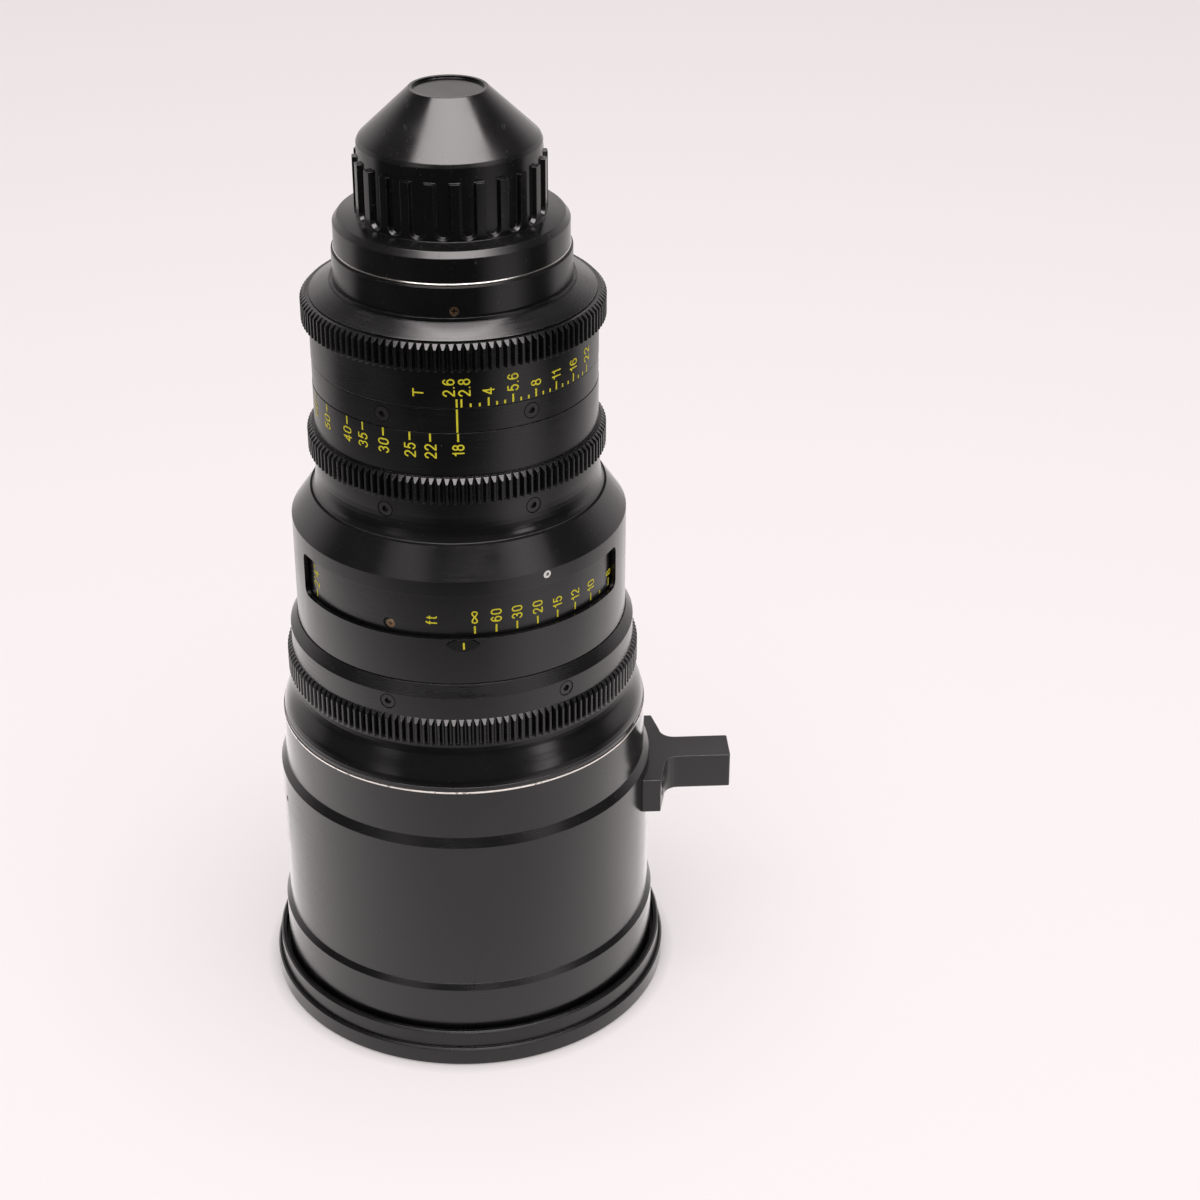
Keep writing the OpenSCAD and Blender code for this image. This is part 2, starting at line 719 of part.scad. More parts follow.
module front_cell() {
    color(anodised) turned([
        [front_glass_r + seat_gap, cell_z], [barrel_bore_r - seat_gap, cell_z],
        [barrel_bore_r - seat_gap, sleeve_z], [front_glass_r - front_glass_land, sleeve_z],
        [front_glass_r - front_glass_land, sleeve_z - cell_ledge_t],
        [front_glass_r + seat_gap, sleeve_z - cell_ledge_t]
    ]);
}

module front_element() {
    rim_z = front_glass_z + sag(front_glass_sphere_r, front_glass_r);
    back_z = sleeve_z - cell_ledge_t;
    inner = front_glass_r - front_glass_land;
    color(coated_glass) difference() {
        union() {
            translate([0, 0, rim_z]) cylinder(r = front_glass_r, h = back_z - rim_z);
            dome(front_glass_r, rim_z, -1, front_glass_sphere_r, rim_z - front_glass_z);
        }
        dome(inner, back_z, -1, front_glass_back_r, sag(front_glass_back_r, inner));
    }
}

module front_retainer() {
    seat_z = front_glass_z + sag(front_glass_sphere_r, front_glass_r - retainer_w);
    color(anodised) tube(front_glass_r - retainer_w, front_glass_r, seat_z - retainer_t, seat_z);
}

// Where the two foot screws sit, with Z pointing outward
module foot_screw_places() {
    for (side = [-1, 1])
        translate([0, side * foot_pad_w * foot_screw_y_share, foot_z + foot_h / 2])
            rotate([0, 90, 0]) children();
}

// One side of the foot's plan, from the barrel out to the arm's end
function foot_side(side) = let (arm = foot_arm_w / 2)
    let (end_r = barrel_r + foot_pad_t, root_r = end_r + foot_gusset_t)
    concat([[barrel_bore_r, side * foot_pad_w / 2], [end_r, side * foot_pad_w / 2]],
        [for (i = [0:6]) let (a = 180 + 90 * i / 6)
            [root_r + foot_fillet_r * (1 + cos(a)), side * (arm + foot_fillet_r * (1 + sin(a)))]],
        [[foot_reach - foot_edge, side * arm], [foot_reach, side * (arm - foot_edge)]]);

module support_foot() {
    low = foot_side(-1);
    high = foot_side(1);
    color(foot_grey) difference() {
        translate([0, 0, foot_z]) linear_extrude(foot_h)
            polygon(concat(low, [for (i = [len(high) - 1:-1:0]) high[i]]));
        translate([0, 0, foot_z - cut]) cylinder(r = barrel_r + seat_gap, h = foot_h + 2 * cut, $fn = 180);
        translate([foot_reach - foot_hole_depth, 0, foot_z + foot_h / 2]) rotate([0, 90, 0])
            cylinder(r = foot_hole_r, h = foot_hole_depth + cut);
        foot_screw_places() foot_screw_hole();
    }
}

// The counterbore runs on outward through the gusset
module foot_screw_hole() {
    screw_hole(foot_head_x, barrel_bore_r, foot_screw_head_r, foot_screw_head_t, foot_screw_shank_r);
    translate([0, 0, foot_head_x]) cylinder(r = foot_screw_head_r + seat_gap, h = foot_reach - foot_head_x);
}

module foot_screws() {
    color(steel) foot_screw_places()
        screw(foot_head_x, barrel_bore_r, foot_screw_head_r, foot_screw_head_t, foot_screw_shank_r);
}

// Flowing outline from the barrel's rim in to the gear
module flare_ring() {
    rim_r = barrel_band_r - part_gap;
    top_r = focus_band_r - part_gap;
    outline = [for (i = [0:12]) let (t = i / 12)
        [top_r + (rim_r - top_r) * (1 + cos(180 * t)) / 2, flare_z + flare_h * t]];
    neck = [for (i = [12:-1:0]) [outline[i][0] - flare_wall, outline[i][1]]];
    color(anodised) {
        turned(concat(outline, neck));
        tube(rim_r - flare_wall - nose_step, rim_r, flare_z, flare_z + flare_wall);
    }
}

module main_tube() {
    flange_r = barrel_bore_r - seat_gap;
    color(bare) difference() {
        turned([
            [main_bore_r, sleeve_z], [flange_r, sleeve_z], [flange_r, ledge_z], [main_tube_r, ledge_z],
            [main_tube_r, rear_flange_z], [rear_boss_r, rear_flange_z],
            [rear_boss_r, rear_flange_z - rear_boss_h], [main_bore_r, rear_flange_z - rear_boss_h]
        ]);
        around(followers, follower_az) guide_slot(main_bore_r, main_tube_r, follower_slot_r,
            focus_follower_z - focus_travel, focus_follower_z);
        around(frame_screws, 0) translate([front_frame_screw_r, 0, 0])
            rotate([180, 0, 0]) screw_hole(-sleeve_z, -ledge_z - cut,
                frame_screw_head_r, frame_screw_head_t, frame_screw_shank_r);
        around(frame_screws, 0) translate([rear_frame_screw_r, 0, rear_flange_z - rear_boss_h * 0.6])
            cylinder(r = frame_screw_shank_r + seat_gap, h = rear_boss_h);
    }
}

module frame_screws() {
    color(steel) {
        around(frame_screws, 0) translate([front_frame_screw_r, 0, 0]) rotate([180, 0, 0])
            screw(-sleeve_z, -ledge_z - ledge_t * 0.7,
                frame_screw_head_r, frame_screw_head_t, frame_screw_shank_r);
        around(frame_screws, 0) translate([rear_frame_screw_r, 0, 0])
            screw(neck_z, rear_flange_z - rear_boss_h * 0.55,
                frame_screw_head_r, frame_screw_head_t, frame_screw_shank_r);
    }
}

module guide_ring() {
    top_z = guide_ring_z + guide_ring_t;
    color(anodised) tube(guide_r + seat_gap, main_bore_r - seat_gap, guide_ring_z, top_z);
}

module focus_ring() {
    top_r = housing_r + part_gap;
    color(anodised) difference() {
        union() {
            gear(focus_teeth, focus_z, focus_gear_h);
            turned([
                [0, focus_z + focus_gear_h / 2], [focus_band_r - part_gap, focus_z + focus_gear_h / 2],
                [focus_band_r - part_gap, focus_band_z], [focus_band_r, focus_band_z],
                [focus_band_r, focus_bevel_z], [top_r, focus_top_z], [0, focus_top_z]
            ]);
        }
        disc(focus_drum_r + seat_gap, focus_z - cut, focus_top_z + cut);
        around(ring_screws, focus_screw_az) outward(0, focus_screw_z)
            ring_screw_hole(focus_band_r, focus_drum_r - screw_bite);
    }
}

module focus_cam_drum() {
    color(bare) difference() {
        tube(focus_drum_bore_r, focus_drum_r, focus_drum_z, drum_joint_z);
        around(followers, follower_az + focus_turn) translate([0, 0, focus_follower_z - focus_travel])
            winding_slot(focus_drum_bore_r, focus_drum_r, follower_slot_r, focus_turn, focus_travel,
                slot_steps_focus);
    }
}

module focus_scale_drum() {
    color(anodised) difference() {
        tube(focus_drum_bore_r, focus_drum_r, drum_joint_z, scale_drum_top_z);
        around(ring_screws, focus_screw_az) outward(0, focus_screw_z)
            ring_screw_hole(focus_band_r, focus_drum_r - screw_bite);
    }
}

module focus_screws() {
    color(steel) around(ring_screws, focus_screw_az) outward(0, focus_screw_z)
        ring_screw(focus_band_r, focus_drum_r - screw_bite);
}

// A sliding cell: a ring with a ledge that its element sits on
module sliding_cell(r, z, h, glass_r) {
    difference() {
        tube(glass_r - cell_land, r, z, z + h);
        translate([0, 0, z + h / 4]) cylinder(r = glass_r + seat_gap, h = h);
    }
}

// Three pins that stand out of a cell into the cam slots
module follower_set(r_in, r_out, z) {
    around(followers, follower_az) outward(0, z) {
        translate([0, 0, r_in]) cylinder(r = follower_r, h = r_out - r_in);
    }
}

module follower_holes(r_in, z) {
    around(followers, follower_az) outward(0, z) translate([0, 0, r_in - seat_gap])
        cylinder(r = follower_r + seat_gap, h = main_tube_r);
}

module focus_cell() {
    color(anodised) difference() {
        sliding_cell(main_bore_r - run_gap, focus_cell_z, focus_cell_h, focus_glass_r);
        follower_holes(focus_glass_r + main_tube_wall, focus_follower_z);
    }
}

module focus_element() {
    low_z = focus_cell_z + focus_cell_h / 4;
    color(coated_glass) element(focus_glass_r, low_z, low_z + focus_cell_h * 0.55, focus_glass_r * 2.2,
        focus_glass_r * 3, cell_land);
}

module focus_followers() {
    color(brass) follower_set(focus_glass_r + main_tube_wall, focus_drum_r - part_gap, focus_follower_z);
}

// Rounded end of the window, on its lower (-1) or higher (1) side in azimuth
module window_end(a, side) {
    r = window_corner_r;
    top = window_end_share * window_h / 2;
    corner = [for (i = [0:6]) r * [side * cos(15 * i), sin(15 * i) - 1]];
    outline = concat([for (q = corner) [q[0], top + q[1]]], [[-2 * side * r, top], [-2 * side * r, -top]],
        [for (i = [6:-1:0]) [corner[i][0], -top - corner[i][1]]]);
    outward(a, window_z + window_h / 2) translate([0, 0, housing_bore_r - cut])
        linear_extrude(housing_wall + 2 * cut) polygon(outline);
}

module scale_housing() {
    corner_az = window_corner_r * 360 / (2 * PI * housing_r);
    color(anodised) difference() {
        turned([
            [housing_bore_r, housing_z], [housing_r, housing_z], [housing_r, housing_bevel_z],
            [neck_r, neck_z], [fixed_bore_r, neck_z], [fixed_bore_r, housing_web_z],
            [housing_bore_r, housing_web_z]
        ]);
        ring_sector(housing_bore_r - cut, housing_r + cut, window_z, window_top_z,
            window_from + 2 * corner_az, window_to - 2 * corner_az);
        window_end(window_from + corner_az, -1);
        window_end(window_to - corner_az, 1);
        outward(set_screw_az, set_screw_z) disc(set_screw_r + seat_gap, housing_bore_r - cut, housing_r + cut);
        around(frame_screws, 0) translate([rear_frame_screw_r, 0, 0])
            screw_hole(neck_z, housing_web_z - cut,
                frame_screw_head_r, frame_screw_head_t, frame_screw_shank_r);
    }
}

// Lens-shaped plate under the window that carries the focus index
module focus_index_plate() {
    half_w = index_plate_w / 2;
    half_h = index_plate_h / 2;
    arc_r = (half_w * half_w + half_h * half_h) / (2 * half_h);
    color(plastic) intersection() {
        tube(housing_r + seat_gap, housing_r + index_plate_t, housing_z, window_z);
        outward(0, window_z - index_plate_drop) intersection() {
            translate([0, arc_r - half_h, 0]) cylinder(r = arc_r, h = housing_r + cut);
            translate([0, half_h - arc_r, 0]) cylinder(r = arc_r, h = housing_r + cut);
        }
    }
}

// Small set screw above the window
module set_screw() {
    color(steel) outward(set_screw_az, set_screw_z) difference() {
        translate([0, 0, housing_bore_r + seat_gap])
            cylinder(r = set_screw_r, h = housing_wall - seat_gap - screw_recess);
        translate([0, 0, housing_r - housing_wall / 2])
            cylinder(r = set_screw_r * socket_share, h = housing_wall, $fn = 6);
    }
}

module neck_ring() {
    curve_h = neck_h * 0.6;
    sweep = [for (i = [0:8]) let (a = 90 * i / 8)
        [neck_r - (neck_r - neck_slim_r) * sin(a), neck_z + curve_h * (1 - cos(a))]];
    color(anodised) difference() {
        turned(concat([[fixed_bore_r, neck_z]], sweep,
            [[neck_slim_r, neck_z + neck_h], [fixed_bore_r, neck_z + neck_h]]));
        around(ring_screws, rear_screw_az) outward(0, neck_screw_z)
            ring_screw_hole(neck_slim_r, rear_tube_r - screw_bite);
    }
}

module neck_screws() {
    color(steel) around(ring_screws, rear_screw_az) outward(0, neck_screw_z)
        ring_screw(neck_slim_r, rear_tube_r - screw_bite);
}

module rear_tube() {
    color(bare) difference() {
        turned([
            [rear_bore_r, rear_flange_z], [main_tube_r, rear_flange_z], [main_tube_r, housing_web_z],
            [rear_tube_r, housing_web_z], [rear_tube_r, web_z], [rear_bore_r, web_z]
        ]);
        around(frame_screws, 0) translate([rear_frame_screw_r, 0, rear_flange_z - cut])
            cylinder(r = frame_screw_shank_r + seat_gap, h = rear_flange_t + 2 * cut);
        around(ring_screws, rear_screw_az) outward(0, neck_screw_z)
            ring_screw_hole(neck_slim_r, rear_tube_r - screw_bite);
        around(ring_screws, rear_screw_az) outward(0, index_screw_z)
            ring_screw_hole(rear_band_r, rear_tube_r - screw_bite);
        turn_slot(rear_bore_r, rear_tube_r, zoom_pin_r + slot_gap, zoom_pin_z,
            zoom_pin_az, zoom_pin_az + zoom_turn);
        turn_slot(rear_bore_r, rear_tube_r, iris_pin_r + slot_gap, cam_plate_z + cam_plate_t / 2,
            iris_pin_az - iris_turn, iris_pin_az);
    }
}

module zoom_ring() {
    color(anodised) difference() {
        union() {
            gear(rear_teeth, zoom_z, zoom_gear_h);
            disc(rear_band_r, zoom_band_z, zoom_band_z + zoom_band_h);
        }
        disc(ring_bore_r, zoom_z - cut, index_z + cut);
        outward(zoom_pin_az, zoom_pin_z) disc(zoom_pin_r + seat_gap, 0, rear_band_r - pin_cover + seat_gap);
    }
}

module zoom_cam_drum() {
    drum_z = guide_ring_z + guide_ring_t + part_gap;
    color(bare) difference() {
        tube(zoom_drum_bore_r, zoom_drum_r, drum_z, guide_flange_z - part_gap);
        around(followers, follower_az) translate([0, 0, variator_follower_z])
            winding_slot(zoom_drum_bore_r, zoom_drum_r, follower_slot_r, zoom_turn, variator_travel,
                slot_steps_zoom);
        around(followers, follower_az) translate([0, 0, compensator_follower_z])
            winding_slot(zoom_drum_bore_r, zoom_drum_r, follower_slot_r, zoom_turn, -compensator_travel,
                slot_steps_zoom);
        outward(zoom_pin_az, zoom_pin_z) cylinder(r = zoom_pin_r + seat_gap, h = rear_tube_r);
    }
}

module zoom_drive_pin() {
    color(steel) outward(zoom_pin_az, zoom_pin_z)
        disc(zoom_pin_r, zoom_drum_bore_r + run_gap, rear_band_r - pin_cover);
}

module zoom_guide_tube() {
    color(bare) difference() {
        turned([
            [guide_bore_r, guide_ring_z], [guide_r, guide_ring_z], [guide_r, guide_flange_z],
            [rear_bore_r - seat_gap, guide_flange_z], [rear_bore_r - seat_gap, iris_base_z],
            [guide_bore_r, iris_base_z]
        ]);
        around(followers, follower_az) guide_slot(guide_bore_r, guide_r, follower_slot_r,
            variator_follower_z, variator_follower_z + variator_travel);
        around(followers, follower_az) guide_slot(guide_bore_r, guide_r, follower_slot_r,
            compensator_follower_z - compensator_travel, compensator_follower_z);
    }
}

module variator_cell() {
    color(anodised) difference() {
        sliding_cell(guide_bore_r - run_gap, variator_cell_z, variator_cell_h, variator_glass_r);
        follower_holes(variator_glass_r + guide_wall, variator_follower_z);
    }
}

module variator_element() {
    low_z = variator_cell_z + variator_cell_h / 4;
    color(coated_glass) element(variator_glass_r, low_z, low_z + variator_cell_h * 0.6,
        -variator_glass_r * 4.5, -variator_glass_r * 3.5, cell_land);
}

module variator_followers() {
    color(brass) follower_set(variator_glass_r + guide_wall, zoom_drum_r - seat_gap, variator_follower_z);
}

module compensator_cell() {
    color(anodised) difference() {
        sliding_cell(guide_bore_r - run_gap, compensator_cell_z, compensator_cell_h, compensator_glass_r);
        follower_holes(compensator_glass_r + guide_wall, compensator_follower_z);
    }
}

module compensator_element() {
    low_z = compensator_cell_z + compensator_cell_h / 4;
    color(coated_glass) element(compensator_glass_r, low_z, low_z + compensator_cell_h / 2,
        compensator_glass_r * 2.6, compensator_glass_r * 3, cell_land);
}

module compensator_followers() {
    tip_r = zoom_drum_r - seat_gap;
    color(brass) follower_set(compensator_glass_r + guide_wall, tip_r, compensator_follower_z);
}

module index_ring() {
    index_r = rear_band_r - seat_gap * 2;
    color(anodised) difference() {
        tube(fixed_bore_r, index_r, index_z, index_z + index_h);
        around(ring_screws, rear_screw_az) outward(0, index_screw_z)
            ring_screw_hole(rear_band_r, rear_tube_r - screw_bite);
    }
}

module index_screws() {
    color(steel) around(ring_screws, rear_screw_az) outward(0, index_screw_z)
        ring_screw(rear_band_r, rear_tube_r - screw_bite);
}

module iris_ring() {
    pin_z = cam_plate_z + cam_plate_t / 2;
    color(anodised) difference() {
        union() {
            disc(rear_band_r, iris_z, iris_gear_z);
            gear(rear_teeth, iris_gear_z, iris_gear_h);
        }
        disc(ring_bore_r, iris_z - cut, iris_top_z + cut);
        outward(iris_pin_az, pin_z) disc(iris_pin_r + seat_gap, 0, rear_band_r - pin_cover + seat_gap);
    }
}

module iris_drive_pin() {
    color(steel) outward(iris_pin_az, cam_plate_z + cam_plate_t / 2)
        disc(iris_pin_r, iris_pin_tip_r, rear_band_r - pin_cover);
}

module iris_base() {
    color(bare) difference() {
        tube(aperture_r, rear_bore_r - seat_gap, iris_base_z, iris_base_z + iris_base_t);
        around(blades, 0) translate([0, -pivot_circle_r, iris_base_z + iris_base_t / 2])
            cylinder(r = pivot_pin_r + run_gap, h = iris_base_t, $fn = 32);
    }
}

// Where a blade's drive pin stands when the blade has swung by a given angle.
// The blade's pivot is at azimuth 0, and the blade reaches towards lower azimuths.
function drive_pin_place(swing) = let (p = spot(pivot_circle_r, 0))
    let (q = spot(pivot_circle_r, -drive_pin_az) - p)
    [p[0] + q[0] * cos(swing) - q[1] * sin(swing), p[1] + q[0] * sin(swing) + q[1] * cos(swing)];

// The same place as the turning cam plate sees it, at a share of the whole travel
function groove_spot(share) = let (q = drive_pin_place(-blade_swing * share), a = iris_turn * share)
    [q[0] * cos(a) - q[1] * sin(a), q[0] * sin(a) + q[1] * cos(a)];

function groove_side(share, side) = let (step = 0.01)
    let (d = groove_spot(share + step) - groove_spot(share - step), q = groove_spot(share))
    q + side * groove_half_w * [-d[1], d[0]] / norm(d);

module cam_groove() {
    far = [for (i = [0:groove_steps]) groove_side(i / groove_steps, 1)];
    near = [for (i = [groove_steps:-1:0]) groove_side(i / groove_steps, -1)];
    linear_extrude(cam_groove_depth + cut) polygon(concat(far, near));
    for (share = [0, 1]) translate(groove_spot(share)) disc(groove_half_w, 0, cam_groove_depth + cut);
}

module iris_cam_plate() {
    color(bare) difference() {
        tube(aperture_r + seat_gap, rear_bore_r - run_gap, cam_plate_z, cam_plate_z + cam_plate_t);
        around(blades, 0) translate([0, 0, cam_plate_z - cut]) cam_groove();
        outward(iris_pin_az, cam_plate_z + cam_plate_t / 2)
            disc(iris_pin_r + seat_gap, iris_pin_tip_r - seat_gap, rear_bore_r + cut);
    }
}

// Points on an arc between two azimuths, in plan
function arc(r, from, to, steps) = [for (i = [0:steps]) spot(r, from + (to - from) * i / steps)];

// Plan of a blade: a crescent whose root widens around the pivot and the drive pin
function blade_outline(in_r) = concat(arc(in_r, -blade_arc, blade_root_back_az, blade_steps),
    arc(blade_root_r, blade_root_back_az, -blade_root_az, blade_steps / 4),
    arc(in_r + blade_w, -blade_root_az, -blade_arc, blade_steps));

// One blade in its own layer, with its pivot pin below and its drive pin above
module iris_blade(number) {
    z = blade_z + (number - 1) * blade_pitch;
    pivot_foot = iris_base_z + iris_base_t * 0.6;
    drive_top = cam_plate_z + cam_groove_depth * 0.8;
    in_r = aperture_r + part_gap;
    color([0.1, 0.1, 0.11]) rotate([0, 0, (number - 1) * 360 / blades]) {
        translate([0, 0, z]) linear_extrude(blade_t) polygon(blade_outline(in_r));
        translate([0, -pivot_circle_r, 0]) disc(pivot_pin_r, pivot_foot, z + blade_t / 2, $fn = 32);
        translate(spot(pivot_circle_r, -drive_pin_az))
            disc(drive_pin_r, z + blade_t / 2, drive_top, $fn = 32);
    }
}

module rear_barrel() {
    skirt_r = fixed_bore_r;
    step_r = collar_r + step_w;
    color(anodised) difference() {
        turned([
            [web_bore_r, web_z], [skirt_r, web_z], [skirt_r, shoulder_z], [shoulder_r, shoulder_z],
            [shoulder_top_r, step_z], [step_r, step_z], [step_r, collar_z],
            [web_bore_r + spigot_w, collar_z], [web_bore_r + spigot_w, collar_z + spigot_h],
            [web_bore_r, collar_z + spigot_h]
        ]);
        around(collar_screws, 0) outward(0, collar_screw_z)
            screw_hole(collar_r - screw_recess, web_bore_r + spigot_w / 3,
                collar_screw_head_r, screw_head_t, screw_shank_r * 0.7);
    }
}

module mount_collar() {
    color(anodised) difference() {
        turned([
            [web_bore_r + spigot_w + seat_gap, collar_z], [collar_r, collar_z], [collar_r, mount_z],
            [web_bore_r + seat_gap, mount_z], [web_bore_r + seat_gap, collar_z + spigot_h],
            [web_bore_r + spigot_w + seat_gap, collar_z + spigot_h]
        ]);
        around(collar_screws, 0) outward(0, collar_screw_z)
            screw_hole(collar_r - screw_recess, web_bore_r + spigot_w / 3,
                collar_screw_head_r, screw_head_t, screw_shank_r * 0.7);
        around(4, 0) translate([0, -mount_screw_r, mount_z - collar_h / 2])
            cylinder(r = mount_screw_shank_r + seat_gap, h = collar_h);
    }
}

module collar_screws() {
    color(brass) around(collar_screws, 0) outward(0, collar_screw_z)
        screw(collar_r - screw_recess, web_bore_r + spigot_w / 3,
            collar_screw_head_r, screw_head_t, screw_shank_r * 0.7, true);
}

module lens_mount() {
    tube_top = flange_z + mount_tube_h;
    color(steel) difference() {
        union() {
            turned([
                [mount_bore_r, mount_z], [mount_base_r, mount_z], [mount_base_r, mount_face_z],
                [mount_neck_r, mount_face_z], [mount_neck_r, lobe_z + mount_lobe_t / 2],
                [mount_tube_r, flange_z], [mount_tube_r, tube_top - part_gap],
                [mount_tube_r - part_gap, tube_top], [mount_bore_r, tube_top]
            ]);
            around(4, lobe_gap_az / 2)
                ring_sector(mount_tube_r - part_gap, mount_lobe_r, lobe_z, flange_z, 0, 90 - lobe_gap_az);
        }
        around(4, 45) translate([-index_slot_w / 2, -mount_lobe_r - cut, lobe_z - cut])
            cube([index_slot_w, index_slot_depth + cut, mount_lobe_t + 2 * cut]);
        around(4, 0) translate([0, -mount_screw_r, mount_z - cut])
            cylinder(r = mount_screw_shank_r + seat_gap, h = mount_base_t + 2 * cut);
    }
}

module mount_screws() {
    color(steel) around(4, 0) translate([0, -mount_screw_r, 0])
        screw(mount_face_z + mount_screw_head_t, mount_z - collar_h * 0.45,
            mount_screw_head_r, mount_screw_head_t, mount_screw_shank_r);
}

module rear_cell() {
    flange_r = rear_bore_r - 2 * seat_gap;
    lip_r = rear_glass_r - rear_cell_lip;
    color(anodised) difference() {
        turned([
            [lip_r, rear_cell_z], [rear_cell_r, rear_cell_z], [rear_cell_r, web_z - rear_cell_flange_t],
            [flange_r, web_z - rear_cell_flange_t], [flange_r, web_z], [rear_cell_r, web_z],
            [rear_cell_r, mount_z], [rear_cell_slim_r, mount_z], [rear_cell_slim_r, rear_cell_top_z],
            [lip_r, rear_cell_top_z]
        ]);
        disc(relay_glass_r + seat_gap, rear_cell_z - cut, relay_seat_z);
        disc(rear_glass_r + seat_gap, rear_seat_z, rear_cell_top_z + cut);
    }
}

module relay_element() {
    color(coated_glass) element(relay_glass_r, relay_seat_z - rear_cell_flange_t * 2, relay_seat_z, 0,
        relay_glass_r * 2, relay_glass_land);
}

module rear_element() {
    color(coated_glass) element(rear_glass_r, rear_seat_z, rear_seat_z + rear_cell_flange_t * 2, 0,
        rear_glass_r * 2.2, rear_glass_land);
}

module rear_retainer() {
    seat_z = rear_seat_z + rear_cell_flange_t * 2;
    color(anodised) tube(rear_glass_r - cell_land, rear_glass_r, seat_z, seat_z + rear_cell_flange_t / 2);
}

// One flute of the grip, with sloping sides and a round lower end. The end is a little
// wider than the sides, so that they cross.
cap_tip_gap = PI * rear_cap_rib_r / rear_cap_ribs - rear_cap_rib_w / 2;
cap_core_gap = PI * rear_cap_core_r / rear_cap_ribs - rear_cap_rib_w / 2 - rear_cap_rib_flare;
flute_end_share = 1.02;

module cap_flute(z0, z1) {
    spread = cap_tip_gap - cap_core_gap;
    near_r = rear_cap_core_r - rear_cap_rib_depth;
    far_r = rear_cap_rib_r + rear_cap_rib_depth;
    near_w = cap_core_gap - spread;
    far_w = cap_tip_gap + spread;
    translate([0, 0, z0]) linear_extrude(z1 - z0)
        polygon([[near_w, -near_r], [far_w, -far_r], [-far_w, -far_r], [-near_w, -near_r]]);
    outward(0, z0) translate([0, 0, near_r])
        cylinder(r1 = near_w * flute_end_share, r2 = far_w * flute_end_share, h = far_r - near_r);
}

// The grip: a ring rooted inside the plain core, with flutes between its ribs
module cap_grip() {
    flute_z = rear_cap_shelf_z + rear_cap_bevel_h + rear_cap_foot_h + cap_tip_gap;
    difference() {
        tube(rear_cap_root_r, rear_cap_rib_r, rear_cap_shelf_z, rear_cap_rib_z);
        around(rear_cap_ribs, rear_cap_grip_az + 180 / rear_cap_ribs)
            cap_flute(flute_z, rear_cap_rib_z + cut);
    }
}

module rear_cap() {
    shelf_top = rear_cap_shelf_z + rear_cap_bevel_h + rear_cap_shelf_h;
    dish_r = rear_cap_top_r - rear_cap_dish_w;
    color(plastic) difference() {
        union() {
            turned([
                [0, mount_face_z], [rear_cap_r, mount_face_z], [rear_cap_r, rear_cap_shelf_z],
                [rear_cap_r - rear_cap_bevel_w, rear_cap_shelf_z + rear_cap_bevel_h],
                [rear_cap_rib_r, shelf_top], [rear_cap_core_r, shelf_top],
                [rear_cap_core_r, rear_cap_core_z - rear_cap_round],
                [rear_cap_core_r - rear_cap_round * 0.5, rear_cap_core_z],
                [rear_cap_top_r, rear_cap_top_z], [dish_r, rear_cap_top_z],
                [dish_r, rear_cap_top_z - rear_cap_dish_t], [0, rear_cap_top_z - rear_cap_dish_t]
            ]);
            cap_grip();
        }
        disc(rear_cap_bore_r, mount_face_z - cut, rear_cap_floor_z);
        turned([
            [0, mount_face_z], [rear_cap_core_r - rear_cap_wall, mount_face_z],
            [rear_cap_core_r - rear_cap_wall, rear_cap_core_z - rear_cap_wall],
            [rear_cap_top_r - rear_cap_wall, rear_cap_top_z - rear_cap_wall * 1.6],
            [0, rear_cap_top_z - rear_cap_wall * 1.6]
        ]);
    }
}

front_cap();
front_ring();
front_barrel();
front_cell();
front_element();
front_retainer();
support_foot();
foot_screws();
flare_ring();
main_tube();
frame_screws();
guide_ring();
focus_ring();
focus_cam_drum();
focus_scale_drum();
focus_screws();
focus_cell();
focus_element();
focus_followers();
scale_housing();
focus_index_plate();
set_screw();
neck_ring();
neck_screws();
rear_tube();
zoom_ring();
zoom_cam_drum();
zoom_drive_pin();
zoom_guide_tube();
variator_cell();
variator_element();
variator_followers();
compensator_cell();
compensator_element();
compensator_followers();
index_ring();
index_screws();
iris_ring();
iris_drive_pin();
iris_base();
iris_cam_plate();
iris_blade(1);  // iris_blade_1
iris_blade(2);  // iris_blade_2
iris_blade(3);  // iris_blade_3
iris_blade(4);  // iris_blade_4
iris_blade(5);  // iris_blade_5
iris_blade(6);  // iris_blade_6
iris_blade(7);  // iris_blade_7
iris_blade(8);  // iris_blade_8
iris_blade(9);  // iris_blade_9
rear_barrel();
mount_collar();
collar_screws();
lens_mount();
mount_screws();
rear_cell();
relay_element();
rear_element();
rear_retainer();
rear_cap();
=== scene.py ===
"""Looks of a cinema zoom lens that stands on its front cap: finishes, engraved scales, light and camera."""

import json
import math

import bmesh
import bpy
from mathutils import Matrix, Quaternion, Vector
from mathutils.geometry import delaunay_2d_cdt


